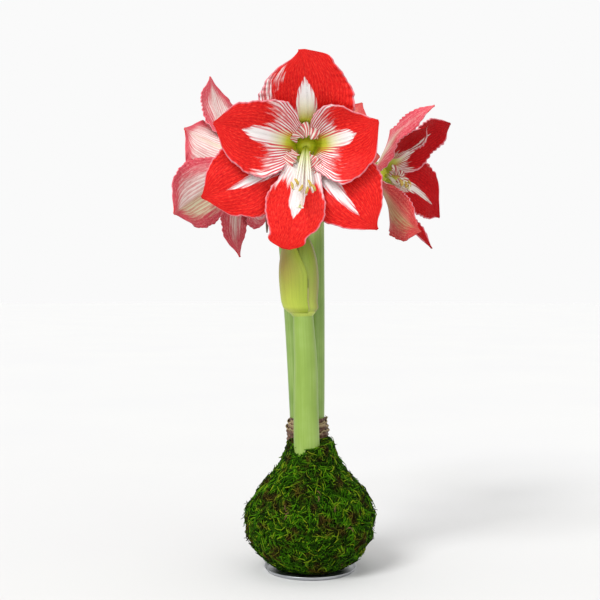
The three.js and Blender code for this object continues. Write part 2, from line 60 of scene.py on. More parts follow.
def smooth(low, high, x):
    # 0 at low and 1 at high, eased between them; low may be the larger of the two
    f = min(max((x - low) / (high - low), 0.0), 1.0)
    return f * f * (3 - 2 * f)


def mix(a, b, f):
    return a + (b - a) * f


def routePoint(points, t):
    # a place on the smooth route through a few points, t from 0 at the first to 1 at the last
    return Vector([along([p[k] for p in points], t) for k in range(3)])


def linear(hexColour, light=1.3):
    # sRGB hex to linear. Colours are given as they look in the studio, whose lamps brighten them by light
    parts = [int(hexColour[k:k + 2], 16) / 255 for k in (1, 3, 5)]
    return [(p / 12.92 if p <= 0.04045 else ((p + 0.055) / 1.055) ** 2.4) / light for p in parts] + [1.0]


def patternScale(size):
    # how often a pattern comes in a metre of Object coordinates, from its real size in millimetres
    return 1 / (size * mm)


def addNode(material, kind, inputs=None, stops=None, **settings):
    # inputs take a value, a node, or a node with the name of its output. The first two stops are the
    # ends of a colour ramp, and any others come between them.
    node = material.node_tree.nodes.new("ShaderNode" + kind)
    for key, value in settings.items():
        setattr(node, key, value)
    for key, value in (inputs or {}).items():
        if isinstance(value, bpy.types.Node):
            value = (value, 0)
        if isinstance(value, tuple) and isinstance(value[0], bpy.types.Node):
            material.node_tree.links.new(value[0].outputs[value[1]], node.inputs[key])
        else:
            node.inputs[key].default_value = value
    for k, (place, colour) in enumerate(stops or []):
        elements = node.color_ramp.elements
        stop = elements[k] if k < 2 else elements.new(place)
        stop.position = place
        stop.color = linear(colour)
    return node


def newMaterial(name, **finish):
    material = bpy.data.materials.new(name)
    material.use_nodes = True
    shader = material.node_tree.nodes["Principled BSDF"]
    for key, value in finish.items():
        shader.inputs[key.replace("_", " ")].default_value = value
    return material


def dress(material, colour, roughness=None, height=None, depth=0.3, strength=0.6):
    # depth is the relief's height in millimetres
    tree = material.node_tree
    shader = tree.nodes["Principled BSDF"]
    tree.links.new(colour.outputs[0], shader.inputs["Base Color"])
    if roughness:
        tree.links.new(roughness.outputs[0], shader.inputs["Roughness"])
    if height:
        bump = addNode(material, "Bump", {"Height": height, "Distance": depth * mm, "Strength": strength})
        tree.links.new(bump.outputs[0], shader.inputs["Normal"])
    return material


def grainedSkin(name, tones, size, detail, depth, upwards=1, **finish):
    # one grain gives both the tone and the relief; below 1, upwards draws it out along the height
    skin = newMaterial(name, **finish)
    where = addNode(skin, "TexCoord")
    long = addNode(skin, "VectorMath", {0: (where, "Object"), 1: (1, 1, upwards)}, operation="MULTIPLY")
    grain = addNode(skin, "TexNoise", {"Vector": long, "Scale": patternScale(size), "Detail": detail})
    tone = addNode(skin, "ValToRGB", {"Fac": grain}, stops=tones)
    return dress(skin, tone, None, grain, depth=depth)


def formedGrid(columns, rows, place, wrapped=False, paint=None):
    # a grid whose points go to place(u, s), u from -1 to 1 across it and s from 0 to 1 along it.
    # Wrapped, its two sides meet, and its ends are closed. paint gives each point its marks.
    mesh = bmesh.new()
    bmesh.ops.create_grid(mesh, x_segments=columns, y_segments=rows, size=1.0)
    if paint:
        layers = [mesh.verts.layers.float_vector.new(name) for name in paint]
    for vert in mesh.verts:
        u = vert.co.x
        s = (vert.co.y + 1) / 2
        vert.co = place(u, s)
        if paint:
            for layer, given in zip(layers, paint.values()):
                vert[layer] = given(u, s)
    if wrapped:
        bmesh.ops.remove_doubles(mesh, verts=mesh.verts, dist=1e-4)
        bmesh.ops.holes_fill(mesh, edges=[e for e in mesh.edges if e.is_boundary], sides=0)
        bmesh.ops.recalc_face_normals(mesh, faces=mesh.faces)
    return mesh


def newPiece(name, mesh, materials, replaced=(), thick=0):
    # brings a mesh to metres and makes it a piece of the plant. thick gives a sheet its wall, half of it
    # to each side, and a second material goes to the reverse.
    bmesh.ops.scale(mesh, vec=(mm, mm, mm), verts=mesh.verts)
    for face in mesh.faces:
        face.smooth = True
    data = bpy.data.meshes.new(name)
    mesh.to_mesh(data)
    mesh.free()
    piece = bpy.data.objects.new(name, data)
    bpy.context.scene.collection.objects.link(piece)
    for material in materials:
        data.materials.append(material)
    if thick:
        wall = piece.modifiers.new("wall", "SOLIDIFY")
        wall.thickness = thick * mm
        wall.offset = 0
        wall.material_offset = 1 if len(materials) > 1 else 0
        wall.material_offset_rim = 0
    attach(piece, "root")
    if replaced:
        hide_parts(*replaced)


def rodAlong(route, half, sides, rows, ridges=None):
    # a closed rod on a route(t), with half(t) giving its half width and half depth
    stations = []
    wide = Vector((1, 0, 0))
    for k in range(rows + 1):
        t = k / rows
        way = (route(min(t + 0.002, 1)) - route(max(t - 0.002, 0))).normalized()
        wide = (wide - way * wide.dot(way)).normalized()
        stations.append((route(t), wide.copy(), way.cross(wide)))

    def place(u, s):
        middle, across, deep = stations[round(s * rows)]
        turn = math.pi * (u + 1)
        broad, thick = half(s)
        extra = ridges(turn, s) if ridges else 0
        return middle + across * (broad + extra) * math.cos(turn) + deep * (thick + extra) * math.sin(turn)

    paint = {"stemPlace": lambda u, s: (math.pi * (u + 1), s, 0)}
    return formedGrid(sides, rows, place, wrapped=True, paint=paint)


# camera, floor and light

view = {"place": (-9.8, -1000, 275), "drop": 1.09, "lens": 63.2, "sensor": 36}  # drop is in degrees
cameraData = bpy.data.cameras.new("camera")
cameraData.lens = view["lens"]
cameraData.sensor_width = view["sensor"]
camera = bpy.data.objects.new("camera", cameraData)
bpy.context.scene.collection.objects.link(camera)
camera.location = Vector(view["place"]) * mm
camera.rotation_euler = (math.radians(90 - view["drop"]), 0, 0)
bpy.context.scene.camera = camera

# painted plywood sheet, matt, so it gives a soft shadow and no reflection
floorPaint = newMaterial("matt_white_paint_rolled", Roughness=0.9, Specular_IOR_Level=0.1)
floorGrain = addNode(floorPaint, "TexNoise", {"Scale": 60.0, "Detail": 3.0})
floorTone = addNode(floorPaint, "ValToRGB", {"Fac": floorGrain}, stops=[(0.3, "#E9E9E9"), (0.7, "#EBEBEA")])
dress(floorPaint, floorTone)
floorMesh = bmesh.new()
bmesh.ops.create_circle(floorMesh, cap_ends=True, segments=96, radius=12)  # metres, past the picture's edges
floorData = bpy.data.meshes.new("floor")
floorMesh.to_mesh(floorData)
floorMesh.free()
floorData.materials.append(floorPaint)
floor = bpy.data.objects.new("floor", floorData)
floor.location = (0, 0, -0.2 * mm)  # a hair under the dish
bpy.context.scene.collection.objects.link(floor)

world = bpy.data.worlds.new("studio")
world.use_nodes = True
world.node_tree.nodes["Background"].inputs["Color"].default_value = linear("#FAFAFA", 1)
world.node_tree.nodes["Background"].inputs["Strength"].default_value = 1.0
bpy.context.scene.world = world
bpy.context.scene.view_settings.view_transform = "Standard"

# wide soft lamps: the main one is up on the left of the camera, a weak one fills from its right
lamps = [
    {"name": "main_lamp", "from": (-0.75, -1.0, 1.15), "spread": 24, "power": 2.4},
    {"name": "fill_lamp", "from": (0.4, -1.0, 0.15), "spread": 60, "power": 0.8},
]
for given in lamps:
    lampData = bpy.data.lights.new(given["name"], "SUN")
    lampData.energy = given["power"]
    lampData.angle = math.radians(given["spread"])
    lamp = bpy.data.objects.new(given["name"], lampData)
    lamp.rotation_euler = (-Vector(given["from"])).to_track_quat("-Z", "Y").to_euler()
    bpy.context.scene.collection.objects.link(lamp)
print("camera, floor and light are set")


# dish: thin spun steel with a rolled lip

dish = {"foot": 41, "radius": 44, "wall": 1, "lip": 3.4, "turns": 128}


def makeDish():
    foot, radius, wall, lip = dish["foot"], dish["radius"], dish["wall"], dish["lip"]
    # middle of the floor, out and up to the lip, over it, and back to the middle
    outline = [(0, 0), (foot - 1.5, 0), (foot, 0.05), (foot + 0.8, 0.3), (foot + 1.6, 0.9),
               (radius - 0.7, lip - 1.4), (radius - 0.1, lip - 0.7), (radius, lip - 0.4),
               (radius - 0.1, lip - 0.15), (radius - 0.4, lip), (radius - 0.8, lip - 0.15),
               (radius - 1.1, lip - 0.5), (radius - 1.7, lip - 1.3), (foot + 0.3, wall + 0.4),
               (foot - 0.8, wall), (foot - 5, wall), (0, wall)]
    mesh = bmesh.new()
    points = [mesh.verts.new((r, 0, z)) for r, z in outline]
    edges = [mesh.edges.new(pair) for pair in zip(points, points[1:])]
    bmesh.ops.spin(mesh, geom=points + edges, cent=(0, 0, 0), axis=(0, 0, 1), angle=2 * math.pi,
                   steps=dish["turns"], use_merge=True, use_duplicate=False)
    bmesh.ops.remove_doubles(mesh, verts=mesh.verts, dist=0.01)
    bmesh.ops.recalc_face_normals(mesh, faces=mesh.faces)
    return mesh


# stainless steel, spun and brushed: dull satin. The brush's rings are drawn coarser than real, to show
dishSteel = newMaterial("stainless_steel_brushed", Metallic=1.0, Roughness=0.32)
dishWhere = addNode(dishSteel, "TexCoord")
dishApart = addNode(dishSteel, "SeparateXYZ", {"Vector": (dishWhere, "Object")})
dishFlat = addNode(dishSteel, "CombineXYZ", {"X": (dishApart, "X"), "Y": (dishApart, "Y")})
dishOut = addNode(dishSteel, "VectorMath", {0: dishFlat}, operation="LENGTH")
dishBrush = addNode(dishSteel, "TexNoise", {"W": (dishOut, "Value"), "Scale": patternScale(0.55),
                                            "Detail": 2}, noise_dimensions="1D")
dishCloud = addNode(dishSteel, "TexNoise",
                    {"Vector": (dishWhere, "Object"), "Scale": patternScale(16.7), "Detail": 4})
dishTone = addNode(dishSteel, "ValToRGB", {"Fac": dishCloud}, stops=[(0.3, "#C4C7CC"), (0.7, "#E4E6EA")])
dishRough = addNode(dishSteel, "MapRange", {"Value": dishCloud, "To Min": 0.26, "To Max": 0.44})
dress(dishSteel, dishTone, dishRough, dishBrush, depth=0.05, strength=0.3)
newPiece("steel_dish", makeDish(), [dishSteel], ["dish"])
print("dish made")


# moss: a matted body with thousands of shoots on it

moss = {
    "profile": [(24, 1.4), (30, 3.2), (39, 7.5), (47, 15), (54, 25.5), (58.5, 37), (60, 50), (57, 62),
                (51, 73), (44, 82), (36, 91), (29.5, 99), (25, 107), (22, 115), (19.5, 124)],
    "neckLean": -7,     # the neck is drawn towards the front stem
    "neckDepth": 12,    # and reaches this much further to the front and back than to the sides
    "lid": 9,           # how far the shoots grow in over the top
    "mats": 3,          # pieces of shoots, each with the count that the next line gives
    "shoots": {"count": 3900, "seed": 4, "lengths": (8, 21), "widths": (0.38, 0.68), "strays": 0.08},
    "twigs": {"count": 26, "seed": 31, "lengths": (6, 13), "widths": (0.5, 0.9), "strays": 0.3},
}


def mossRadius(z):
    profile = moss["profile"]
    for (r0, z0), (r1, z1) in zip(profile, profile[1:]):
        if z <= z1:
            return mix(r0, r1, max(z - z0, 0) / (z1 - z0))
    return profile[-1][0]


def mossPoint(turn, z, out):
    # a place on the lumpy ball, or so far out from it; its neck is cut lower in front
    upward = smooth(70, 112, z)
    lumps = (1.5 * math.sin(5 * turn + 0.11 * z) * math.sin(0.17 * z + 1.3)
             + 1.1 * math.sin(9 * turn - 0.19 * z + 2.1) + 0.8 * math.sin(14 * turn + 0.31 * z))
    grown = mossRadius(z) + lumps * smooth(5, 18, z) * (1 - 0.6 * upward) + out
    slope = -4 * smooth(92, 124, z) * max(0, -math.sin(turn))
    return Vector((grown * math.cos(turn),
                   moss["neckLean"] * upward + (grown + moss["neckDepth"] * upward) * math.sin(turn),
                   z + slope))


def makeMossBody():
    low, high = moss["profile"][0][1], moss["profile"][-1][1]

    def place(u, s):
        # the last rows fold in towards the bulb's neck
        turn = math.pi * (u + 1)
        z = mix(low, high, min(s / 0.94, 1))
        inward = -12 * smooth(0.94, 1, s)
        point = mossPoint(turn, z, inward)
        rough = noise.noise(point * 0.22) * 1.6 + noise.noise(point * 0.55) * 0.9
        return point + Vector((math.cos(turn), math.sin(turn), 0)) * (rough - 0.8) * smooth(2, 12, z)

    return formedGrid(150, 130, place, wrapped=True)


def growShoots(name, kind, seed, material):
    # shoots or twigs as tapered curves that wander over the moss, made into one mesh
    draw = random.Random(seed)
    curve = bpy.data.curves.new(name + "_lines", "CURVE")
    curve.dimensions = "3D"
    curve.bevel_depth = mm
    curve.bevel_resolution = 0
    curve.use_fill_caps = True
    steps = 5
    low, high = moss["profile"][0][1] + 1.5, moss["profile"][-1][1] - 1
    widest = max(radius for radius, z in moss["profile"])
    made = 0
    while made < kind["count"]:
        z = draw.uniform(low, high + moss["lid"])
        if draw.random() > (mossRadius(z) + 6) / (widest + 6):  # as close where the ball is narrow
            continue
        made += 1
        turn = draw.uniform(0, 2 * math.pi)
        heading = draw.uniform(0, 2 * math.pi)
        curl = draw.gauss(0, 0.42)
        length = draw.uniform(*kind["lengths"])
        width = draw.uniform(*kind["widths"])
        stray = draw.random() < kind["strays"]
        lift = draw.uniform(0.3, 2.2)
        away = draw.uniform(1.5, 5.5) if stray else draw.uniform(-1.2, 0.9)
        line = curve.splines.new("POLY")
        line.points.add(steps - 1)
        for k, point in enumerate(line.points):
            t = k / (steps - 1)
            out = -0.4 + lift * math.sin(math.pi * min(t * 1.15, 1)) + away * t * t
            inward = max(z - high - 1, 0) * 1.3
            place = mossPoint(turn, min(max(z, low), high + 2), out - inward)
            place.z = max(place.z, 2.2)  # over the dish's floor
            point.co = (*(place * mm), 1)
            point.radius = width * (0.35 + 0.65 * math.sin(math.pi * (0.2 + 0.75 * t)))
            heading += curl + draw.gauss(0, 0.16)
            z += math.cos(heading) * length / steps
            turn += math.sin(heading) * length / steps / (mossRadius(min(max(z, low), high)) + 2)
    holder = bpy.data.objects.new(name + "_lines", curve)
    bpy.context.scene.collection.objects.link(holder)
    mesh = bmesh.new()
    evaluated = holder.evaluated_get(bpy.context.evaluated_depsgraph_get())
    mesh.from_mesh(evaluated.to_mesh())
    bpy.data.objects.remove(holder)
    bmesh.ops.scale(mesh, vec=(1 / mm, 1 / mm, 1 / mm), verts=mesh.verts)
    newPiece(name, mesh, [material])


# sheet moss, living: matt, its matted body painted near black as painted shade in the hollows, every shoot a
# green of its own, brown where it dries
mossMat = newMaterial("sheet_moss_matted", Roughness=0.95, Specular_IOR_Level=0.02)
mossWhere = addNode(mossMat, "TexCoord")
mossPatch = addNode(mossMat, "TexNoise",
                    {"Vector": (mossWhere, "Object"), "Scale": patternScale(14.3), "Detail": 4})
mossFine = addNode(mossMat, "TexNoise",
                   {"Vector": (mossWhere, "Object"), "Scale": patternScale(1.1), "Detail": 3})
# painted shade: the body's near-black tones are its own dark tone deepened for the shade between the shoots
mossShadedBody = addNode(mossMat, "ValToRGB", {"Fac": mossPatch},
                   stops=[(0.35, "#040C00"), (0.65, "#120F02"), (0.5, "#081400")])
dress(mossMat, mossShadedBody, None, mossFine, depth=1.0, strength=1.0)

mossShoot = newMaterial("sheet_moss_shoots", Roughness=0.8, Specular_IOR_Level=0.05)
shootWhere = addNode(mossShoot, "TexCoord")
shootEach = addNode(mossShoot, "NewGeometry")
shootPatch = addNode(mossShoot, "TexNoise",
                     {"Vector": (shootWhere, "Object"), "Scale": patternScale(13.3), "Detail": 3})
shootTone = addNode(mossShoot, "ValToRGB", {"Fac": (shootEach, "Random Per Island")},
                    stops=[(0.0, "#0A1A00"), (1.0, "#84941A"), (0.3, "#183400"), (0.6, "#2C5A00"),
                           (0.85, "#4C8208")])
shootDry = addNode(mossShoot, "ValToRGB", {"Fac": (shootEach, "Random Per Island")},
                   stops=[(0.0, "#120E02"), (1.0, "#5C5414"), (0.5, "#2E260A")])
shootMix = addNode(mossShoot, "MapRange", {"Value": shootPatch, "From Min": 0.5, "From Max": 0.64})
shootColour = addNode(mossShoot, "MixRGB", {"Fac": shootMix, "Color1": shootTone, "Color2": shootDry})
shootFine = addNode(mossShoot, "TexNoise", {"Vector": (shootWhere, "Object"), "Scale": patternScale(0.42)})
dress(mossShoot, shootColour, None, shootFine, depth=0.15, strength=0.5)

# twig, dry: rough brown bark, paler on its ridges
twigBark = grainedSkin("dry_twig_bark", [(0.3, "#2E1C0C"), (0.7, "#80602E")], 1.43, 4, 0.3, Roughness=0.85)

newPiece("moss_body", makeMossBody(), [mossMat], ["moss"])
for k in range(moss["mats"]):
    growShoots(f"moss_shoots_{k + 1}", moss["shoots"], moss["shoots"]["seed"] + k, mossShoot)
growShoots("moss_twigs", moss["twigs"], moss["twigs"]["seed"], twigBark)
print("moss made")


# bulb and the torn scales round its neck

bulb = {
    # the last two fold in over the top of its neck
    "profile": [(20, 9), (34, 16), (42, 28), (45, 50), (42, 66), (34, 80), (26, 92), (21, 104), (18.7, 116),
                (17.5, 128), (17.1, 142), (15.8, 142.6), (14.6, 140)],
    "neck": (-2.5, 9),
    "neckRadius": 17.5,
    "neckDepth": 1.06,  # its depth for a width of 1
}
# from and to are heights, start and sweep are degrees round the neck, stand is how far off it they are
scaleSheets = [
    {"from": 118, "to": 141, "stand": 0.2, "start": 0, "sweep": 360, "torn": 3, "phase": 1,
     "replaced": ["neck_scale_inner"]},
    {"from": 116, "to": 137, "stand": 1.1, "start": 200, "sweep": 215, "torn": 2.4, "phase": 4,
     "replaced": ["neck_scale_outer"]},
    {"from": 117, "to": 132, "stand": 1.9, "start": -70, "sweep": 120, "torn": 2.2, "phase": 2.2,
     "replaced": []},
    {"from": 117, "to": 134, "stand": 1.8, "start": 120, "sweep": 130, "torn": 2.6, "phase": 5.2,
     "replaced": []},
]


def makeBulb():
    def place(u, s):
        turn = math.pi * (u + 1)
        radius, z = (along([point[n] for point in bulb["profile"]], s) for n in range(2))
        upward = smooth(60, 118, z)
        wrinkle = 0.25 * math.sin(17 * turn + 0.05 * z) + 0.2 * math.sin(31 * turn)
        return Vector((bulb["neck"][0] * upward + (radius + wrinkle) * math.cos(turn),
                       bulb["neck"][1] * upward
                       + (radius + wrinkle) * math.sin(turn) * mix(1, bulb["neckDepth"], upward), z))

    return formedGrid(96, 90, place, wrapped=True)


def makeScaleSheet(given):
    def place(u, s):
        turn = math.radians(given["start"] + given["sweep"] * (u + 1) / 2)
        torn = given["torn"] * (math.sin(3 * turn + given["phase"]) * 0.5 + math.sin(7 * turn) * 0.3
                                + noise.noise(Vector((turn * 9, given["phase"], 0))) * 0.9)
        z = mix(given["from"], given["to"] + torn, s)
        crinkle = 0.55 * math.sin(z * 1.5 + 2 * math.sin(2 * turn)) + 0.4 * math.sin(13 * turn + z * 0.4)
        radius = bulb["neckRadius"] + given["stand"] + crinkle * smooth(0, 0.3, s) + smooth(0.6, 1, s)
        return Vector((bulb["neck"][0] + radius * math.cos(turn),
                       bulb["neck"][1] + radius * math.sin(turn) * bulb["neckDepth"], z))

    marks = {"sheetPlace": lambda u, s: (u, s, 0)}
    closed = given["sweep"] == 360
    mesh = formedGrid(150 if closed else 90, 26, place, paint=marks)
    if closed:
        bmesh.ops.remove_doubles(mesh, verts=mesh.verts, dist=1e-4)
    return mesh


# bulb tunic, dried: papery brown, streaked upwards, and paler along a scale's torn edge
tunicSkin = newMaterial("bulb_tunic_dried", Roughness=0.6, Specular_IOR_Level=0.35)
tunicWhere = addNode(tunicSkin, "TexCoord")
tunicTall = addNode(tunicSkin, "VectorMath", {0: (tunicWhere, "Object"), 1: (1, 1, 0.25)},
                    operation="MULTIPLY")
tunicNoise = addNode(tunicSkin, "TexNoise", {"Vector": tunicTall, "Scale": patternScale(2.63), "Detail": 5})
tunicTone = addNode(tunicSkin, "ValToRGB", {"Fac": tunicNoise},
                    stops=[(0.25, "#241208"), (0.8, "#A08868"), (0.45, "#4E3020"), (0.6, "#74523C")])
tunicMark = addNode(tunicSkin, "Attribute", attribute_name="sheetPlace")
tunicApart = addNode(tunicSkin, "SeparateXYZ", {"Vector": (tunicMark, "Vector")})
tunicRim = addNode(tunicSkin, "MapRange", {"Value": (tunicApart, "Y"), "From Min": 0.86, "From Max": 0.98})
tunicColour = addNode(tunicSkin, "MixRGB",
                      {"Fac": tunicRim, "Color1": tunicTone, "Color2": linear("#AE9A70")})
dress(tunicSkin, tunicColour, None, tunicNoise, depth=0.5)

newPiece("bulb_fine", makeBulb(), [tunicSkin], ["bulb"])
for k, given in enumerate(scaleSheets):
    newPiece(f"neck_scale_sheet_{k + 1}", makeScaleSheet(given), [tunicSkin],
             given["replaced"], thick=0.35)
print("bulb and scales made")


# stems

stems = {
    "stem_front": {
        "route": [(-2.5, -16, 84), (-3, -24, 104), (-3.5, -28, 120), (-4.3, -28.4, 160), (-4.7, -28.5, 200),
                  (-7, -28, 243)],
        "half": [(11, 11), (12, 12), (12, 11.6), (11.4, 11), (10.6, 10.4), (9.3, 9.3)],
    },
    "stem_right": {
        "route": [(4.5, 10, 84), (5.6, 10, 145), (5.4, 11, 230), (5, 12, 310), (5, 12, 372)],
        "half": [(7.4, 8.5), (8, 9.5), (8.5, 9.6), (8.5, 9.2), (8, 8.6)],
    },
    "stem_left": {
        "route": [(-10, 10, 84), (-11.6, 11, 140), (-16, 13, 235), (-23, 15, 322), (-28, 16, 362),
                  (-28.3, 16, 372)],
        "half": [(7, 8.5), (7.8, 9.5), (8.5, 9.6), (8.5, 9.4), (8.2, 9), (8, 8.6)],
    },
}


def makeStem(given):
    def half(t):
        return [along([pair[k] for pair in given["half"]], t) for k in (0, 1)]

    def ridges(turn, t):
        return 0.06 * math.sin(7 * turn) + 0.03 * math.sin(17 * turn + 9 * t) - 0.5 * smooth(0.985, 1, t)

    return rodAlong(lambda t: routePoint(given["route"], t), half, 72, 90, ridges)


def stemSkin(name, dark, middle, light, inside=None):
    # amaryllis scape, living: smooth and waxy, with fine lengthwise lines, 14 to a radian, which on the
    # front stem is 0.8 mm each. inside is the colour of the tube's floor, for a flower stalk: its own
    # yellow-green, painted brighter as painted light where the petals shade it.
    skin = newMaterial(name, Roughness=0.42, Specular_IOR_Level=0.45)
    mark = addNode(skin, "Attribute", attribute_name="stemPlace")
    lines = addNode(skin, "VectorMath", {0: (mark, "Vector"), 1: (9, 1.2, 0)}, operation="MULTIPLY")
    streaks = addNode(skin, "TexNoise", {"Vector": lines, "Scale": 1.6, "Detail": 5, "Roughness": 0.6})
    where = addNode(skin, "TexCoord")
    cloud = addNode(skin, "TexNoise", {"Vector": (where, "Object"), "Scale": patternScale(38.5), "Detail": 3})
    both = addNode(skin, "Math", {0: streaks, 1: cloud}, operation="ADD")
    tone = addNode(skin, "MapRange", {"Value": both, "From Min": 0.7, "From Max": 1.3})
    colour = addNode(skin, "ValToRGB", {"Fac": tone}, stops=[(0.0, dark), (1.0, light), (0.5, middle)])
    if inside:
        apart = addNode(skin, "SeparateXYZ", {"Vector": (mark, "Vector")})
        hollow = addNode(skin, "MapRange", {"Value": (apart, "Y"), "From Min": 0.89, "From Max": 0.93})
        colour = addNode(skin, "MixRGB", {"Fac": hollow, "Color1": colour, "Color2": linear(inside)})
    rough = addNode(skin, "MapRange", {"Value": cloud, "To Min": 0.36, "To Max": 0.56})
    return dress(skin, colour, rough, streaks, depth=0.06)


frontSkin = stemSkin("scape_skin_waxed", "#7E9E38", "#8BA944", "#9CB860")
backSkin = stemSkin("scape_skin_shaded", "#6C8E34", "#84A448", "#9EB968")
for name, given in stems.items():
    skin = frontSkin if name == "stem_front" else backSkin
    newPiece(name + "_fine", makeStem(given), [skin], [name])
print("stems made")


# bud: two bracts folded round the young flowers

bud = {
    "foot": Vector((-7.2, -28, 244)),
    "tip": Vector((-9.5, -27, 326)),
    "half": [16.5, 17.4, 18.4, 18.8, 18, 15.6, 11, 4],  # half its width at even steps up it
    "depth": 0.86,      # its depth for a width of 1
    "bracts": [         # from and to are degrees round the bud, narrow is how much of that the tip loses
        {"name": "bud_bract_left", "from": 72, "to": 292, "inward": 0, "narrow": 0.3},
        {"name": "bud_bract_right", "from": -98, "to": 100, "inward": 1.7, "narrow": 0.05},
    ],
    "ringWide": [9, 9.7, 10.4, 11.2, 12, 12.4],
    "ringDeep": [9, 9.5, 9.9, 10.3, 10.8, 11],
}


def budPoint(turn, s, inward):
    # a place on the bud, or so far inside it
    radius = max(along(bud["half"], s) * mix(0.6, 1, smooth(-0.03, 0.075, s)) - inward, 0.6)
    bulge = 2 * smooth(0, 0.16, s)
    middle = bud["foot"].lerp(bud["tip"], s)
    return middle + Vector((radius * math.cos(turn) - bulge, radius * math.sin(turn) * bud["depth"], 0))


def makeBract(given):
    first, last = math.radians(given["from"]), math.radians(given["to"])

    def place(u, s):
        narrow = 1 - given["narrow"] * smooth(0.4, 0.85, s)
        turn = (first + last) / 2 - u * narrow * (last - first) / 2
        fold = 0.35 * math.sin(9 * turn) * smooth(0.1, 0.5, s) + 0.2 * math.sin(23 * turn)
        return budPoint(turn, 0.01 + 0.97 * s, given["inward"] - 0.3 * fold)

    marks = {"bractPlace": lambda u, s: (u, s, 0)}
    return formedGrid(72, 72, place, paint=marks)


def makeBudRing():
    # the swollen ring where the bracts grow from the stem
    def place(u, s):
        wide, deep = along(bud["ringWide"], s), along(bud["ringDeep"], s)
        return bud["foot"] + Vector((wide * math.cos(math.pi * u) - s * 0.6, deep * math.sin(math.pi * u),
                                     5 * s - 3))

    return formedGrid(72, 14, place, wrapped=True, paint={"bractPlace": lambda u, s: (u, s, 0)})


def makeBudFlowers():
    # the young flowers, six petals wrapped into one body
    def place(u, s):
        return budPoint(math.pi * (u + 1), 0.02 + 0.774 * s, 3.2 + 0.4 * math.sin(6 * math.pi * u))

    return formedGrid(60, 50, place, wrapped=True)


def bractSkin(name, stops, edge, edgeSide, slit=None):
    # spathe bract, fleshy: thin green skin going brown as it dries, with lengthwise veins 1 mm apart.
    # stops run from its foot to its tip, and edge is the colour towards edgeSide.
    skin = newMaterial(name, Roughness=0.45, Specular_IOR_Level=0.4)
    mark = addNode(skin, "Attribute", attribute_name="bractPlace")
    apart = addNode(skin, "SeparateXYZ", {"Vector": (mark, "Vector")})
    lines = addNode(skin, "VectorMath", {0: (mark, "Vector"), 1: (22, 1, 0)}, operation="MULTIPLY")
    streaks = addNode(skin, "TexNoise", {"Vector": lines, "Scale": 1.5, "Detail": 4})
    cloud = addNode(skin, "TexNoise", {"Vector": (mark, "Vector"), "Scale": 2.2, "Detail": 3})
    height = addNode(skin, "MapRange", {"Value": cloud, "To Min": -0.16, "To Max": 0.16})
    level = addNode(skin, "Math", {0: (apart, "Y"), 1: height}, operation="ADD")
    ground = addNode(skin, "ValToRGB", {"Fac": level}, stops=stops)
    side = addNode(skin, "MapRange",
                   {"Value": (apart, "X"), "From Min": edgeSide[0], "From Max": edgeSide[1]})
    tinted = addNode(skin, "MixRGB", {"Fac": side, "Color1": ground, "Color2": linear(edge)})
    if slit:
        # where the other bract ends, the young petals show as a pale line, with a dark band of painted shadow
        # over it for the gap
        across = addNode(skin, "MapRange",
                         {"Value": (apart, "X"), "From Min": slit - 0.05, "From Max": slit})
        below = addNode(skin, "MapRange", {"Value": (apart, "Y"), "From Min": 0.41, "From Max": 0.38})
        shown = addNode(skin, "Math", {0: across, 1: below}, operation="MULTIPLY")
        inside = addNode(skin, "ValToRGB", {"Fac": (apart, "Y")},
                         stops=[(0.27, "#DCBEA4"), (0.39, "#3A2A18"), (0.3, "#2E1C10")])
        tinted = addNode(skin, "MixRGB", {"Fac": shown, "Color1": tinted, "Color2": inside})
    veined = addNode(skin, "MixRGB", {"Fac": 0.35, "Color1": tinted, "Color2": streaks},
                     blend_type="SOFT_LIGHT")
    return dress(skin, veined, None, streaks, depth=0.2)


bractBrown = bractSkin("spathe_bract_browning",
                       [(0.0, "#C8D250"), (1.0, "#7E7238"), (0.14, "#B6C244"), (0.36, "#A6A83C"),
                        (0.55, "#A28E3E"), (0.75, "#98904A")], "#A2B634", (-0.4, -0.95))
bractGreen = bractSkin("spathe_bract_green",
                       [(0.0, "#B4C44C"), (1.0, "#6E7A1E"), (0.3, "#A4B048"), (0.6, "#90AC34")],
                       "#86762E", (0.5, 0.05), slit=0.68)
ringSkin = bractSkin("spathe_ring_fleshy", [(0.0, "#A8BE4C"), (1.0, "#C8D458")], "#C4CC58", (0.9, 1.0))
# young petals, folded: pale pink, with a dull silky shine and a grain that runs up them
budSilk = grainedSkin("young_petals_folded", [(0.3, "#C88C86"), (0.7, "#E8D2BE")], 2.38, 3, 0.3,
                      upwards=0.12, Roughness=0.5)

for given, skin in zip(bud["bracts"], (bractBrown, bractGreen)):
    newPiece(given["name"] + "_fine", makeBract(given), [skin], [given["name"]], thick=0.7)
newPiece("bud_ring_fine", makeBudRing(), [ringSkin])
newPiece("bud_flowers_fine", makeBudFlowers(), [budSilk], ["bud_flowers"])
print("bud made")


# tepals: each is a grid on a rib that leans out of the funnel, with its marks painted by formula

# a tepal stands at a clock angle, in degrees from the top as one looks into the bloom, and left and right
# are its half widths at even steps from root to tip
flareLength = 105
tepalDefaults = {
    "length": 106,
    "lean": [20, 36, 52, 67, 83, 98],   # degrees from the bloom's axis to the rib, over flareLength
    "bend": 0,              # degrees that its tip swings round the clock
    "twist": 0,             # degrees that its blade turns round the rib
    "cup": 2,               # how round it is across
    "wave": 1.2,            # height of the long ruffles of its margin
    "waves": 2.5,           # and how many there are
    "frill": 1,             # height of the short ones
    "star": [6, 7, 7.5, 7, 6, 4, -1, -6, -8],   # half width of the white mark along the rib
    "fill": (0.24, 0.52),   # where the red closes over the rest, in shares of the length
    "greenTo": 30,          # where the throat's green ends
    "rolled": -2,           # width of a margin painted paler, as if turned over, or below 0 for none
    "rolledSide": 1,        # its side, 1 for the right and -1 for the left
    "rolledPale": 0.5,
    "lined": 1,             # how strong the veins are
    "creamed": 0,           # 1 or -1 makes the right or the left half cream instead of white
}
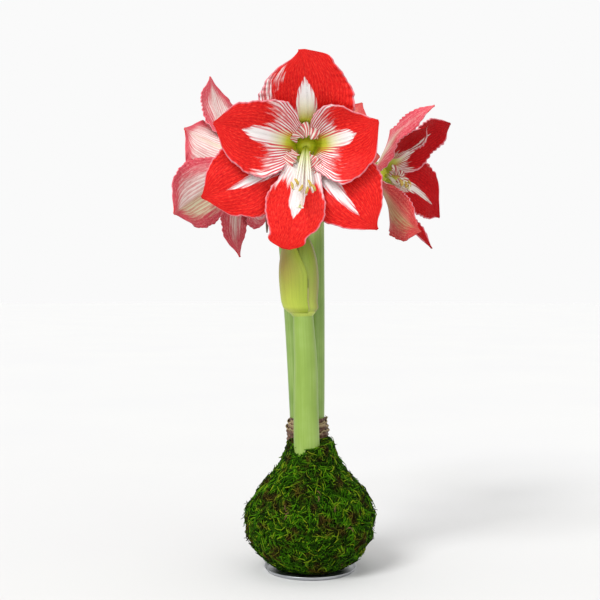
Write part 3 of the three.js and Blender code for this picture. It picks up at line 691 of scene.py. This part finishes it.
# the outer whorl leans out more and is flatter than the inner one
whorl = {"outerLean": 5, "outerCup": -5, "innerRoot": 8.4, "outerRoot": 11.2, "rootHeight": 1.25}
broad = [5.5, 15, 29, 37, 31, 17]
slim = [5.5, 14, 25, 29, 24, 13]

# mouth is where the tube opens, and foot is how far from the middle of the stem's top the stalk stands.
# forward and droop compare its stamens with the front bloom's, and base holds for all its tepals.
# skins "deep" gives a bloom the darker copies of the petal skins, painted shade for blooms turned away from
# the lamps
blooms = {
    "bloom_front": {
        "mouth": (-4.4, -47, 396), "facing": (-0.006, -0.99, -0.127), "stem": "stem_right",
        "foot": (-0.5, -4.2), "forward": 1, "droop": 1, "skins": "vivid",
        "tepals": [
            {"clock": 2, "length": 88, "bend": -6,
             "left": [7, 13, 20, 29, 38, 41.5, 36, 28.5, 20, 8],
             "right": [7, 13, 21, 31, 41.8, 42.5, 38.5, 33, 40, 85],
             "star": [9, 8, 7.5, 7, 6, 3, -3, -8, -9], "fill": (0.1, 0.34), "greenTo": 54,
             "rolled": 16, "rolledSide": -1},
            {"clock": 81, "length": 79, "bend": -10,
             "left": [7, 14, 21, 28.5, 32.8, 31.8, 26, 17.3, 14, 14],
             "right": [7, 16, 25, 34, 38, 43, 39, 32.6, 35, 30],
             "star": [3, 3, 3.5, 3.8, 3.8, 3.4, -4, -8, -9], "fill": (0.26, 0.7), "greenTo": 48},
            {"clock": 148, "length": 102, "bend": -9,
             "left": [7, 14, 22, 32, 38, 41, 37, 28.5, 24, 12],
             "right": [7, 13, 19, 24, 25, 25, 26, 20, 17, 14],
             "star": [6, 6, 5.5, 4.5, 3.5, 2, -0.5, -5, -9], "fill": (0.1, 0.34), "greenTo": 18},
            {"clock": 189, "length": 104, "bend": 2,
             "left": [7, 14, 17, 18, 20.5, 24.8, 26.5, 24, 23, 55],
             "right": [7, 14, 17, 18, 20.5, 26, 26.5, 23.4, 27, 70],
             "star": [12, 12, 10.5, 6.5, 4, 3.4, -3, -8, -9], "fill": (0.3, 0.6), "greenTo": 22,
             "lined": 0.4},
            {"clock": 236, "length": 108, "bend": 8,
             "left": [7, 13, 18.5, 24, 27, 30, 33, 26.5, 27, 18],
             "right": [7, 12, 18, 24, 29, 33, 34.5, 29, 26, 20],
             "star": [6, 6, 5.5, 4.5, 3.2, 1.5, -1.5, -5, -9], "fill": (0.1, 0.34), "greenTo": 18},
            {"clock": 285, "length": 95, "bend": -1,
             "left": [6, 12, 20, 29, 37, 38, 34, 28.3, 25.7, 20],
             "right": [6, 13, 22, 30, 34.5, 31.5, 27, 23.4, 24, 18],
             "star": [3, 3, 3.5, 3.8, 3.8, 3.4, -3, -8, -9], "fill": (0.26, 0.7), "greenTo": 48},
        ],
    },
    "bloom_right": {
        "mouth": (65, 4, 375), "facing": (0.88, -0.47, 0), "stem": "stem_right", "foot": (4.2, 2.2),
        "forward": 0.42, "droop": 0.3, "skins": "deep",
        "base": {"star": [3, 4, 3.5, 2, 0, -3, -7, -9], "fill": (0.16, 0.4)},
        "tepals": [
            {"clock": 302, "length": 106, "bend": 7, "lean": [45, 46, 43, 36, 24, 16], "twist": 18,
             "left": [6, 14, 15, 10, 9, 9, 8], "right": [9, 20, 20, 13, 10, 9, 8], "skins": "vivid"},
            {"clock": 31, "length": 84, "bend": 14, "lean": [35, 44, 52, 60, 68, 76],
             "left": [4, 6, 12, 19, 21, 14, 12], "right": [9, 18, 23, 22, 19, 17, 14], "phase": 0.3},
            {"clock": 103, "length": 76, "bend": 16, "lean": [45, 54, 60, 64, 68, 70],
             "left": [9, 19, 26, 30, 33, 30, 20], "right": [6, 12, 20, 24, 22, 16, 12], "phase": 0.6,
             "star": [3, 3, 3, 2.4, 1.4, 0, -4, -8]},
            {"clock": 202, "length": 88, "bend": -9, "lean": [36, 44, 48, 52, 56, 60], "twist": 25,
             "left": [5, 10, 12, 8, 6, 5, 5], "right": [5, 12, 18, 18, 16, 13, 9], "phase": 0.9},
            {"clock": 232, "length": 98, "bend": -6, "lean": [45, 47, 46, 42, 35, 26], "twist": -32,
             "left": [7, 20, 30, 30, 26, 20, 14], "right": [5, 9, 12, 15, 17, 14, 6], "phase": 0.2,
             "creamed": -1},
            {"clock": 334, "length": 70, "bend": -10, "lean": [29, 33, 35, 35, 34, 31], "twist": -50,
             "left": [5, 8, 13, 16, 16, 17, 10], "right": [4.5, 6, 8, 12, 13, 11, 7], "phase": 0.5,
             "star": [1, -2, -5, -9], "rolled": 5, "rolledPale": 1},
        ],
    },
    "bloom_left": {
        "mouth": (-50, 38, 396), "facing": (-0.8, 0.55, -0.22), "stem": "stem_left", "foot": (-3.8, 1.5),
        "forward": 1, "droop": 0.8, "skins": "vivid", "phaseStep": 0.29,
        "base": {"lean": [20, 35, 50, 65, 80, 94], "left": broad, "right": broad},
        "tepals": [
            {"clock": -4, "length": 108, "left": [6, 17, 34, 40, 32, 17], "right": [6, 14, 22, 23, 17, 9]},
            {"clock": 48, "length": 74},
            {"clock": 120, "length": 108, "left": [6, 16, 28, 31, 25, 12], "right": [6, 17, 30, 34, 27, 13],
             "creamed": 1},
            {"clock": 188, "length": 104, "left": [5, 12, 18, 18, 13, 7], "right": [5, 12, 18, 18, 13, 7],
             "twist": 15},
            {"clock": 240, "length": 92},
            {"clock": 294, "length": 88, "left": slim, "right": slim},
        ],
    },
    "bloom_back": {
        "mouth": (2, 66, 398), "facing": (0.4, 0.9, 0.12), "stem": "stem_left", "foot": (3.8, 2.5),
        "forward": 0.8, "droop": 0.6, "skins": "deep", "phaseStep": 0.29,
        "base": {"length": 84, "lean": [20, 32, 44, 56, 68, 78], "left": slim, "right": slim},
        "tepals": [{"clock": 28}, {"clock": 88}, {"clock": 148}, {"clock": 208},
                   {"clock": 268, "length": 66}, {"clock": 328}],
    },
}


def bloomMatrix(bloom):
    # a bloom is laid out with its mouth at the origin, facing +Z, with +Y up
    facing = Vector(bloom["facing"]).normalized()
    across = Vector((0, 0, 1)).cross(facing).normalized()
    up = facing.cross(across)
    turned = Matrix((across, up, facing)).transposed().to_4x4()
    return Matrix.Translation(bloom["mouth"]) @ turned


def tepalForm(tepal, inner):
    # gives place(u, s) for the grid, and halfAt(u, s), the half width on that side
    behind = 0 if inner else 1
    length = tepal["length"]
    steps = 60
    rib = []
    radius = whorl["innerRoot"] if inner else whorl["outerRoot"]
    height = whorl["rootHeight"]
    for k in range(steps + 1):
        lean = along(tepal["lean"], min(k / steps * length / flareLength, 1)) + whorl["outerLean"] * behind
        lean = math.radians(lean)
        rib.append((radius, height, lean))
        radius += math.sin(lean) * length / steps
        height += math.cos(lean) * length / steps

    def halfAt(u, s):
        rounded = (1 - smooth(0.72, 1.02, s) ** 1.6) ** 0.75
        ripple = 1 + 0.016 * math.sin(s * length * 0.5 + 3 * tepal["clock"] + 2 * (u < 0))
        ripple += 0.01 * math.sin(s * length * 1.2 + tepal["clock"])
        return max(along(tepal["left"] if u < 0 else tepal["right"], s) * rounded * ripple, 0.9)

    def place(u, s):
        # where the rib is, and which way it, the blade's side and its inner face look there
        k = min(int(s * steps), steps - 1)
        radius, height, lean = (mix(rib[k][n], rib[k + 1][n], s * steps - k) for n in range(3))
        clock = math.radians(tepal["clock"] + tepal["bend"] * s * s)
        outward = Vector((math.sin(clock), math.cos(clock), 0))
        axis = Vector((0, 0, 1))
        ribWay = outward * math.sin(lean) + axis * math.cos(lean)
        side = Vector((math.cos(clock), -math.sin(clock), 0))
        inward = axis * math.sin(lean) - outward * math.cos(lean)
        turned = Matrix.Rotation(math.radians(tepal["twist"] * smooth(0, 0.6, s)), 3, ribWay)
        side, inward = turned @ side, turned @ inward
        # the blade is rounded across like the tube it comes out of, and flattens as it leaves it
        d = u * halfAt(u, s)
        cup = (tepal["cup"] + whorl["outerCup"] * behind) / 1000
        curve = math.cos(lean) / radius + cup * smooth(0.1, 0.6, s)
        aside, raised = d, 0
        if abs(curve) > 1e-5:
            aside, raised = math.sin(curve * d) / curve, (1 - math.cos(curve * d)) / curve
        # ruffles grow towards the margin, and a shallow groove runs along the rib
        grown = math.sin(math.pi * min(s, 1)) ** 0.6
        beat = tepal["waves"] * s + tepal["phase"] + (0.37 if u < 0 else 0)
        wave = tepal["wave"] * abs(u) ** 2.5 * grown * math.sin(2 * math.pi * beat)
        frillBeat = s * length / 7.5 + tepal["phase"] * 3 + 0.8 * math.sin(9 * s + tepal["phase"])
        frill = tepal["frill"] * abs(u) ** 7 * grown * math.sin(2 * math.pi * frillBeat)
        groove = -0.2 * math.exp(-(d / 2.4) ** 2) * smooth(0.05, 0.3, s) * (1 - smooth(0.8, 1, s))
        uneven = noise.noise(Vector((d * 0.06, s * length * 0.045, tepal["clock"])))
        sway = 1.5 * uneven * smooth(0.15, 0.4, s)
        raised += wave + frill + groove + sway
        return outward * radius + axis * height + side * aside + inward * raised

    return place, halfAt


def tepalMarks(tepal, halfAt):
    # veinPlace: which vein, millimetres from the root, millimetres from the rib.
    # paint: how much of the ground the red covers, how green the throat makes it, how strong the veins are.
    # edgePlace: millimetres from the margin
    length = tepal["length"]

    def gapAt(u, s):
        # the veins fan out from the root, run beside each other, and come together at the tip
        reach = min(s, 0.5) * length
        gap = (reach + 6) ** 0.8 / 7.6
        return gap * mix(1, halfAt(u, s) / halfAt(u, 0.5), smooth(0.5, 0.95, s))

    def veinPlace(u, s):
        d = u * halfAt(u, s)
        vein = abs(d) / gapAt(u, s)
        return (vein if u > 0 else vein + 40, s * length, d)  # so the two halves aren't mirrored

    def paint(u, s):
        d = abs(u) * halfAt(u, s)
        reach = s * length
        soft = mix(7, 4, smooth(0.2, 0.5, s))
        beside = (d - along(tepal["star"], s)) / soft
        rise = smooth(0, 1, beside)
        filled = smooth(*tepal["fill"], s)
        cover = mix(-0.5, mix(0.2, 1.15, filled), rise)
        cover -= 0.3 * smooth(0.75, 1, abs(u)) * (1 - smooth(0.6, 0.9, s)) * rise
        if u * tepal["rolledSide"] > 0:
            band = smooth(-2, 2, tepal["rolled"] * smooth(0.95, 0.7, s) - (1 - abs(u)) * halfAt(u, s))
            cover -= tepal["rolledPale"] * band
        green = (1 - smooth(6, tepal["greenTo"], reach)) * (1 - smooth(5, 12, d) * smooth(4, 14, reach))
        green = max(green, 0.5 * smooth(0, 0.1, u * tepal["creamed"]))
        strength = tepal["lined"] * smooth(-0.3, 0.5, beside) * smooth(0.03, 0.14, s)
        return (cover, green, strength)

    def edgePlace(u, s):
        return ((1 - abs(u)) * halfAt(u, s) + 4 * smooth(0.9, 1, s), 0, 0)

    return {"veinPlace": veinPlace, "paint": paint, "edgePlace": edgePlace}


def petalVeins(skin):
    # gives the marks, the streaks that run along the veins, and the veins themselves, from 0 to 1. A streak
    # is about a vein wide and 20 mm long, and the veins wander over 33 mm and fork past the throat.
    mark = addNode(skin, "Attribute", attribute_name="veinPlace")
    apart = addNode(skin, "SeparateXYZ", {"Vector": (mark, "Vector")})
    paint = addNode(skin, "Attribute", attribute_name="paint")
    painted = addNode(skin, "SeparateXYZ", {"Vector": (paint, "Vector")})
    stretched = addNode(skin, "VectorMath", {0: (mark, "Vector"), 1: (1.3, 1 / 20, 0)}, operation="MULTIPLY")
    streaks = addNode(skin, "TexNoise", {"Vector": stretched, "Scale": 1.0, "Detail": 4.0, "Roughness": 0.65})
    drift = addNode(skin, "VectorMath", {0: (mark, "Vector"), 1: (0.3, 0.03, 0)}, operation="MULTIPLY")
    wander = addNode(skin, "TexNoise", {"Vector": drift, "Scale": 1.0, "Detail": 1.0})
    shift = addNode(skin, "Math", {0: wander, 1: 9.0}, operation="MULTIPLY")
    angle = addNode(skin, "Math", {0: (apart, "X"), 1: 2 * math.pi, 2: shift}, operation="MULTIPLY_ADD")
    wave = addNode(skin, "Math", {0: angle}, operation="SINE")
    finer = addNode(skin, "Math", {0: angle, 1: 2.0}, operation="MULTIPLY")
    fineWave = addNode(skin, "Math", {0: finer}, operation="SINE")
    spread = addNode(skin, "MapRange", {"Value": (apart, "Y"), "From Min": 32.0, "From Max": 55.0,
                                        "To Max": 0.7})
    fine = addNode(skin, "Math", {0: fineWave, 1: spread, 2: wave}, operation="MULTIPLY_ADD")
    signal = addNode(skin, "Math", {0: streaks, 1: 3.4, 2: fine}, operation="MULTIPLY_ADD")
    vein = addNode(skin, "MapRange", {"Value": signal, "From Min": 1.15, "From Max": 2.0},
                   interpolation_type="SMOOTHSTEP")
    return mark, painted, streaks, vein


def petalFaceSkin(name, reds, whites, lines, shine):
    # amaryllis petal, inner face: velvety saturated red over white, veined, with a yellow-green throat.
    # reds go from a deep grain to a light one, whites from the ground to the throat's green.
    skin = newMaterial(name, Roughness=0.5, Specular_IOR_Level=shine)
    mark, painted, streaks, vein = petalVeins(skin)
    # red with a grain of its own, feathered into the white along the streaks
    stretched = addNode(skin, "VectorMath", {0: (mark, "Vector"), 1: (2.6, 0.22, 0)}, operation="MULTIPLY")
    grain = addNode(skin, "TexNoise", {"Vector": stretched, "Scale": 1.3, "Detail": 4.0, "Roughness": 0.7})
    red = addNode(skin, "ValToRGB", {"Fac": grain}, stops=list(zip((0.33, 0.74, 0.45, 0.58), reds)))
    white = addNode(skin, "ValToRGB", {"Fac": (painted, "Y")}, stops=list(zip((0.0, 1.0, 0.4, 0.7), whites)))
    feathered = addNode(skin, "Math", {0: streaks, 1: 1.7, 2: (painted, "X")}, operation="MULTIPLY_ADD")
    field = addNode(skin, "MapRange", {"Value": feathered, "From Min": 1.16, "From Max": 1.62},
                    interpolation_type="SMOOTHSTEP")
    ground = addNode(skin, "MixRGB", {"Fac": field, "Color1": white, "Color2": red})
    # veins, stronger on the white than on the red
    line = addNode(skin, "MixRGB", {"Fac": field, "Color1": linear(lines[0]), "Color2": linear(lines[1])})
    weaker = addNode(skin, "MapRange", {"Value": field, "To Min": 0.95, "To Max": 0.4})
    held = addNode(skin, "Math", {0: vein, 1: (painted, "Z")}, operation="MULTIPLY")
    drawn = addNode(skin, "Math", {0: held, 1: weaker}, operation="MULTIPLY")
    colour = addNode(skin, "MixRGB", {"Fac": drawn, "Color1": ground, "Color2": line})
    # a ragged pink line along the margin
    margin = addNode(skin, "Attribute", attribute_name="edgePlace")
    away = addNode(skin, "SeparateXYZ", {"Vector": (margin, "Vector")})
    ragged = addNode(skin, "Math", {0: streaks, 1: -2.6, 2: (away, "X")}, operation="MULTIPLY_ADD")
    edge = addNode(skin, "MapRange", {"Value": ragged, "From Min": 0.3, "From Max": -0.8, "To Max": 0.7})
    whole = addNode(skin, "MixRGB", {"Fac": edge, "Color1": colour, "Color2": linear("#F2A0AC")})
    rough = addNode(skin, "MapRange", {"Value": grain, "To Min": 0.4, "To Max": 0.62})
    relief = addNode(skin, "Math", {0: vein, 1: -0.5, 2: grain}, operation="MULTIPLY_ADD")
    return dress(skin, whole, rough, relief, depth=0.25)


def petalBackSkin(name, roses, pales, line, rib):
    # amaryllis petal, reverse: a rose net over cream, greener along the rib, with a silky shine
    skin = newMaterial(name, Roughness=0.5, Specular_IOR_Level=0.2)
    mark, painted, streaks, vein = petalVeins(skin)
    # the rib's own band, which narrows and fades towards the tip
    apart = addNode(skin, "SeparateXYZ", {"Vector": (mark, "Vector")})
    beside = addNode(skin, "Math", {0: (apart, "Z")}, operation="ABSOLUTE")
    near = addNode(skin, "MapRange", {"Value": beside, "From Min": 6.0, "From Max": 0.5})
    shorter = addNode(skin, "MapRange", {"Value": (apart, "Y"), "From Min": 25.0, "From Max": 70.0,
                                         "To Min": 1.0, "To Max": 0.25})
    kept = addNode(skin, "Math", {0: near, 1: shorter}, operation="MULTIPLY")
    uneven = addNode(skin, "Math", {0: kept, 1: streaks}, operation="MULTIPLY")
    ribbed = addNode(skin, "MapRange", {"Value": uneven, "From Min": 0.1, "From Max": 0.5, "To Max": 0.8})
    stretched = addNode(skin, "VectorMath", {0: (mark, "Vector"), 1: (2.6, 1 / 4, 0)}, operation="MULTIPLY")
    grain = addNode(skin, "TexNoise", {"Vector": stretched, "Scale": 1.4, "Detail": 5.0, "Roughness": 0.75})
    # rose from the margin inwards, over the pale ground
    rose = addNode(skin, "ValToRGB", {"Fac": grain}, stops=list(zip((0.3, 0.72, 0.5), roses)))
    pale = addNode(skin, "ValToRGB", {"Fac": (painted, "Y")}, stops=list(zip((0.0, 1.0, 0.5), pales)))
    margin = addNode(skin, "Attribute", attribute_name="edgePlace")
    away = addNode(skin, "SeparateXYZ", {"Vector": (margin, "Vector")})
    outer = addNode(skin, "MapRange",
                    {"Value": (away, "X"), "From Min": 20.0, "From Max": 1.0, "To Max": 0.85})
    feathered = addNode(skin, "Math", {0: streaks, 1: 1.4, 2: outer}, operation="MULTIPLY_ADD")
    field = addNode(skin, "MapRange", {"Value": feathered, "From Min": 0.6, "From Max": 1.35},
                    interpolation_type="SMOOTHSTEP")
    ground = addNode(skin, "MixRGB", {"Fac": field, "Color1": pale, "Color2": rose})
    drawn = addNode(skin, "Math", {0: vein, 1: 0.42}, operation="MULTIPLY")
    net = addNode(skin, "MixRGB", {"Fac": drawn, "Color1": ground, "Color2": linear(line)})
    whole = addNode(skin, "MixRGB", {"Fac": ribbed, "Color1": net, "Color2": linear(rib)})
    return dress(skin, whole, None, grain, depth=0.3)


# the throat's yellow-greens, #CEDC1E and #DEE650, are its own colour painted lighter, as painted light where
# the funnel shades the petals' roots
vividFace = petalFaceSkin("amaryllis_petal_velvet", ("#C2040F", "#FF5C48", "#E61816", "#FA2E22"),
                          ("#FFFCFA", "#CEDC1E", "#F4F4C0", "#DEE650"), ("#DC2842", "#B8000E"), 0.12)
# painted shade: this face and reverse are darker copies of the ones above, for the right and back blooms,
# which turn away from the lamps
shadedFace = petalFaceSkin("amaryllis_petal_velvet_shaded", ("#92000A", "#E23A32", "#B2040C", "#CA1016"),
                         ("#E8E0D6", "#B8BE3A", "#DEDCB0", "#CCCC6A"), ("#B01430", "#8C000A"), 0.06)
roseBack = petalBackSkin("amaryllis_petal_reverse", ("#D02840", "#FFB4B0", "#E85C6C"),
                         ("#FFF0EA", "#B8C068", "#ECE8C4"), "#CC1834", "#E0DCBC")
shadedBack = petalBackSkin("amaryllis_petal_reverse_shaded", ("#B41C26", "#F29A8C", "#DC4444"),
                         ("#DA8672", "#A8A85A", "#C8A478"), "#B0182A", "#CDAA80")
petalSkins = {"vivid": (vividFace, roseBack), "deep": (shadedFace, shadedBack)}  # face and reverse

for bloomName, bloom in blooms.items():
    for k, own in enumerate(bloom["tepals"]):
        tepal = {**tepalDefaults, "phase": bloom.get("phaseStep", 0) * k, "skins": bloom["skins"],
                 **bloom.get("base", {}), **own}
        place, halfAt = tepalForm(tepal, inner=k % 2 == 1)
        mesh = formedGrid(42, 68, place, paint=tepalMarks(tepal, halfAt))
        bmesh.ops.transform(mesh, matrix=bloomMatrix(bloom), verts=mesh.verts)
        newPiece(f"{bloomName}_tepal_fine_{k + 1}", mesh, petalSkins[tepal["skins"]],
                 [f"{bloomName}_tepal_{k + 1}"], thick=0.9)
print("tepals made")


# frills of the petal margins that stand up round the throat, laid out in the frame of their bloom

frills = [
    {"bloom": "bloom_front", "half": 5.5, "waves": 2.6,
     "route": [(-12, 5, 15), (-7, 11, 19), (-1, 14, 21), (6, 12, 20), (11, 7, 16)]},
    {"bloom": "bloom_front", "half": 6.5, "waves": 2.8,
     "route": [(1, -9, 19), (5, -14, 24), (9, -20, 27), (13, -27, 31)]},
    {"bloom": "bloom_front", "half": 6, "waves": 2.7,
     "route": [(-9, -6, 20), (-14, -11, 24), (-20, -16, 28), (-27, -21, 32)]},
    {"bloom": "bloom_right", "half": 4.5, "waves": 2.5,
     "route": [(-3, 0, 12), (2, 4, 16), (6, -1, 20), (3, -8, 22), (-2, -9, 18)]},
]


def makeFrill(given):
    def place(u, s):
        way = routePoint(given["route"], min(s + 0.01, 1)) - routePoint(given["route"], max(s - 0.01, 0))
        side = Vector((0, 0, 1)).cross(way).normalized()
        toward = way.cross(side).normalized()
        toward = toward if toward.z > 0 else -toward
        beat = 2 * math.pi * given["waves"] * s
        half = given["half"] * (0.35 + 0.65 * math.sin(math.pi * min(max(s, 0.02), 0.98)) ** 0.5)
        ruffle = 2.3 * math.sin(beat + 0.8 * u) + 0.8 * math.sin(2.7 * beat + 1.3)
        folded = u * half + 1.5 * math.sin(beat * 1.4 + 2 * u)
        return routePoint(given["route"], s) + side * folded + toward * (ruffle * (0.6 + 0.4 * u))

    marks = {
        "veinPlace": lambda u, s: (15 * s + 0.8 * u, 20 + 6 * u, 4 * u),
        "paint": lambda u, s: (-0.45 + 0.5 * smooth(0.5, 1, u), 0.12, 0.9),
        "edgePlace": lambda u, s: (5, 0, 0),
    }
    return formedGrid(14, 60, place, paint=marks)


for k, given in enumerate(frills):
    bloom = blooms[given["bloom"]]
    mesh = makeFrill(given)
    bmesh.ops.transform(mesh, matrix=bloomMatrix(bloom), verts=mesh.verts)
    newPiece(f"throat_frill_{k + 1}", mesh, petalSkins[bloom["skins"]][:1], thick=0.6)
print("frills made")


# flower stalk, pod and tube

tube = {
    "radius": 3.3,      # of the stalk
    "length": 32,       # of the pod and the tube together
    "deep": 9,          # how far below the mouth the stamens stand
    "gap": 0.35,        # what stands apart is this far apart
    "pod": [3.3, 4.6, 6.2, 6.4, 5.4, 5.2, 7.4, 10, 12.4],  # radius at even steps up to the mouth
    # how far past the mouth the closed throat rises, and its radius there
    "throat": [(0.3, 11.4), (0.2, 9.8), (1.5, 9.4), (3.2, 8.6), (5, 7), (6.6, 5), (7.6, 3)],
    "stalkRows": 24,
    "podRows": 30,
}


def makeStalk(bloom):
    facing = Vector(bloom["facing"]).normalized()
    mouth = Vector(bloom["mouth"])
    top = Vector(stems[bloom["stem"]]["route"][-1])
    foot = top + Vector((bloom["foot"][0], bloom["foot"][1], tube["gap"]))
    podFoot = mouth - facing * tube["length"]
    pull = max((podFoot - foot).length * 0.4, 6)
    corners = [foot, foot + Vector((0, 0, pull)), podFoot - facing * pull, podFoot]

    def bezier(t):
        shares = [(1 - t) ** 3, 3 * t * (1 - t) ** 2, 3 * t * t * (1 - t), t ** 3]
        return sum((p * share for p, share in zip(corners, shares)), Vector())

    # up the stalk, along the pod and the tube, and over the green floor of the throat
    stalkRows, podRows = tube["stalkRows"], tube["podRows"]
    stations = [(bezier(k / stalkRows), tube["radius"]) for k in range(stalkRows)]
    stations += [(podFoot.lerp(mouth, k / podRows), along(tube["pod"], k / podRows))
                 for k in range(podRows + 1)]
    stations += [(mouth + facing * rise, radius) for rise, radius in tube["throat"]]
    rings = []
    wide = Vector((0, 0, 1)).cross(facing).normalized()
    way = facing
    for k, (middle, radius) in enumerate(stations):
        if k + 1 < stalkRows + podRows:
            way = (stations[k + 1][0] - middle).normalized()
        wide = (wide - way * wide.dot(way)).normalized()
        rings.append((middle, radius, wide.copy(), way.cross(wide)))
    rows = len(rings) - 1

    def place(u, s):
        middle, radius, across, deep = rings[round(s * rows)]
        turn = math.pi * (u + 1)
        # the pod has three faint lobes
        lobes = 0.35 * math.cos(3 * turn) * smooth(0.45, 0.6, s) * (1 - smooth(0.6, 0.75, s))
        return middle + (across * math.cos(turn) + deep * math.sin(turn)) * (radius + lobes)

    return formedGrid(48, rows, place, wrapped=True,
                      paint={"stemPlace": lambda u, s: (math.pi * (u + 1), s, 0)})


# the tube's floor, #E2F030, is its own yellow-green painted brighter, as painted light against the petals'
# shade
podSkin = stemSkin("flower_stalk_skin", "#7E9A34", "#93AE48", "#AEC266", "#E2F030")
for bloomName, bloom in blooms.items():
    newPiece(bloomName + "_stalk_fine", makeStalk(bloom), [podSkin], [bloomName + "_stalk"])
print("stalks made")


# stamens and pistil, as they hang in the front bloom; a filament's root is in degrees round the tube

filaments = [
    {"root": 330, "end": (-8, -30, 64)}, {"root": 270, "end": (-12, -33, 66)},
    {"root": 210, "end": (-4.5, -35, 70)}, {"root": 150, "end": (0.5, -37, 66)},
    {"root": 90, "end": (6.5, -35, 65)}, {"root": 30, "end": (3, -31, 72)},
]
# ring is the radius that the filaments stand on, and they taper from foot by thinner
stamen = {"ring": 5.4, "foot": 1.2, "thinner": 0.5, "antherLength": 6.4, "antherHalf": 1.25}


def hang(bloom, x, y, z):
    # a place on a thread, for how this bloom's threads reach and droop
    return (x, y * bloom["droop"], z * bloom["forward"])


def addRod(mesh, points, half, sides, rows):
    # joins another rod to a mesh
    rod = rodAlong(lambda t: routePoint(points, t), lambda t: (half(t), half(t)), sides, rows)
    data = bpy.data.meshes.new("rod")
    rod.to_mesh(data)
    rod.free()
    mesh.from_mesh(data)
    bpy.data.meshes.remove(data)


def makeFilaments(bloom):
    mesh = bmesh.new()
    for given in filaments:
        x, y, z = given["end"]
        turn = math.radians(given["root"])
        footX, footY = stamen["ring"] * math.sin(turn), stamen["ring"] * math.cos(turn)
        route = [(footX, footY, 0.2 + tube["gap"] - tube["deep"]),
                 (footX * 0.25 + x * 0.05, footY * 0.2 - 1.5, 7),
                 hang(bloom, x * 0.34 + footX * 0.12, y * 0.36, 30),
                 hang(bloom, x * 0.85, y - 3, 52), hang(bloom, x, y, z)]
        addRod(mesh, route, lambda t: stamen["foot"] - stamen["thinner"] * t, 10, 30)
    return mesh


def makeAnthers(bloom):
    # each lies across the end of its filament, bowed a little
    mesh = bmesh.new()
    for given in filaments:
        end = Vector(hang(bloom, *given["end"]))
        lie = Vector((0.55 * math.sin(given["root"] * 1.7), -0.85, 0.2)).normalized()
        reach = lie * stamen["antherLength"] / 2
        route = [end - reach, end + Vector((0.9, 0, 0.3)) * 0.6, end + reach]
        addRod(mesh, route, lambda t: stamen["antherHalf"] * (0.4 + 0.6 * math.sin(math.pi * t)), 10, 10)
    return mesh


def makePistil(bloom):
    # the style, with three lobes at its tip
    mesh = bmesh.new()
    route = [(0, -0.8, tube["gap"] - tube["deep"]), (0, -5.8, 2.5), (-0.5, -9.5, 14),
             hang(bloom, -2, -26, 36), hang(bloom, -3.5, -50, 57), hang(bloom, -5, -50, 76)]
    addRod(mesh, route, lambda t: 0.95 + 0.2 * t, 12, 40)
    tip = Vector(route[-1])
    for degrees in (90, 210, 330):
        angle = math.radians(degrees)
        lobe = Vector((math.cos(angle), math.sin(angle), 0.7)).normalized()
        addRod(mesh, [tip - lobe * 0.6, tip + lobe * 2.2, tip + lobe * 4.2 + Vector((0, 0.8, -0.4))],
               lambda t: 1.1 * (1 - 0.45 * t), 8, 8)
    return mesh


def threadSkin(name, low, high):
    # flower thread, living: smooth and pale, greener at its foot
    skin = newMaterial(name, Roughness=0.42)
    mark = addNode(skin, "Attribute", attribute_name="stemPlace")
    apart = addNode(skin, "SeparateXYZ", {"Vector": (mark, "Vector")})
    where = addNode(skin, "TexCoord")
    fine = addNode(skin, "TexNoise", {"Vector": (where, "Object"), "Scale": patternScale(1.25), "Detail": 2})
    tone = addNode(skin, "ValToRGB", {"Fac": (apart, "Y")}, stops=[(0.34, low), (0.62, high)])
    mottled = addNode(skin, "MixRGB", {"Fac": 0.15, "Color1": tone, "Color2": fine}, blend_type="SOFT_LIGHT")
    return dress(skin, mottled, None, fine, depth=0.1)


filamentSkin = threadSkin("filament_skin", "#C4D83C", "#F4F2E4")
styleSkin = threadSkin("style_skin", "#D4D890", "#F6E6DC")
# pollen sacs, just opened: soft yellow powder, drawn coarser than real, to show
pollen = grainedSkin("pollen_sac_powdered", [(0.3, "#B8922E"), (0.7, "#E8D078")], 0.625, 3, 0.3,
                     Roughness=0.9, Specular_IOR_Level=0.1)

for bloomName, bloom in blooms.items():
    threads, sacs, style = makeFilaments(bloom), makeAnthers(bloom), makePistil(bloom)
    for mesh in (threads, sacs, style):
        bmesh.ops.transform(mesh, matrix=bloomMatrix(bloom), verts=mesh.verts)
    newPiece(bloomName + "_filaments", threads, [filamentSkin], [bloomName + "_stamens"])
    newPiece(bloomName + "_anthers", sacs, [pollen])
    newPiece(bloomName + "_style", style, [styleSkin], [bloomName + "_pistil"])
print("stamens and pistils made")


# withered bracts at the tops of the back stems; hanging is measured from the middle of the stem's top

husks = {
    "husk_left": {"stem": "stem_left", "hanging": [(-9.5, 0, 1), (-13, -6, -1), (-14.5, -12, -22),
                                                   (-13, -15, -52)]},
    "husk_right": {"stem": "stem_right", "hanging": [(1, 9.8, 1), (3, 14, -1), (4, 16, -20), (3, 16, -44)]},
}


def makeHusk(given):
    top = Vector(stems[given["stem"]]["route"][-1])
    points = [top + Vector(p) for p in given["hanging"]]
    outward = Vector((*given["hanging"][1][:2], 0)).normalized()

    def place(u, s):
        way = (routePoint(points, min(s + 0.01, 1)) - routePoint(points, max(s - 0.01, 0))).normalized()
        side = outward.cross(way).normalized()
        out = way.cross(side)
        half = max(5 * math.sin(math.pi * (0.25 + 0.72 * s)), 0.8)
        curl = -0.9 * half * u * u + 0.5 * math.sin(5 * s * math.pi + 3 * u) * smooth(0.1, 0.5, s)
        twisted = u * half * math.cos(0.8 * s)
        return routePoint(points, s) + side * twisted + out * (curl + u * half * 0.4 * s)

    return formedGrid(20, 48, place)


# bract, withered: thin brown paper, matt, with darker streaks that run down it
huskPaper = grainedSkin("withered_bract_papery", [(0.3, "#2A1A12"), (0.75, "#8A6848")], 1.67, 4, 0.4,
                        upwards=0.15, Roughness=0.8)
for name, given in husks.items():
    newPiece(name + "_fine", makeHusk(given), [huskPaper], [name], thick=0.4)
print("withered bracts made")
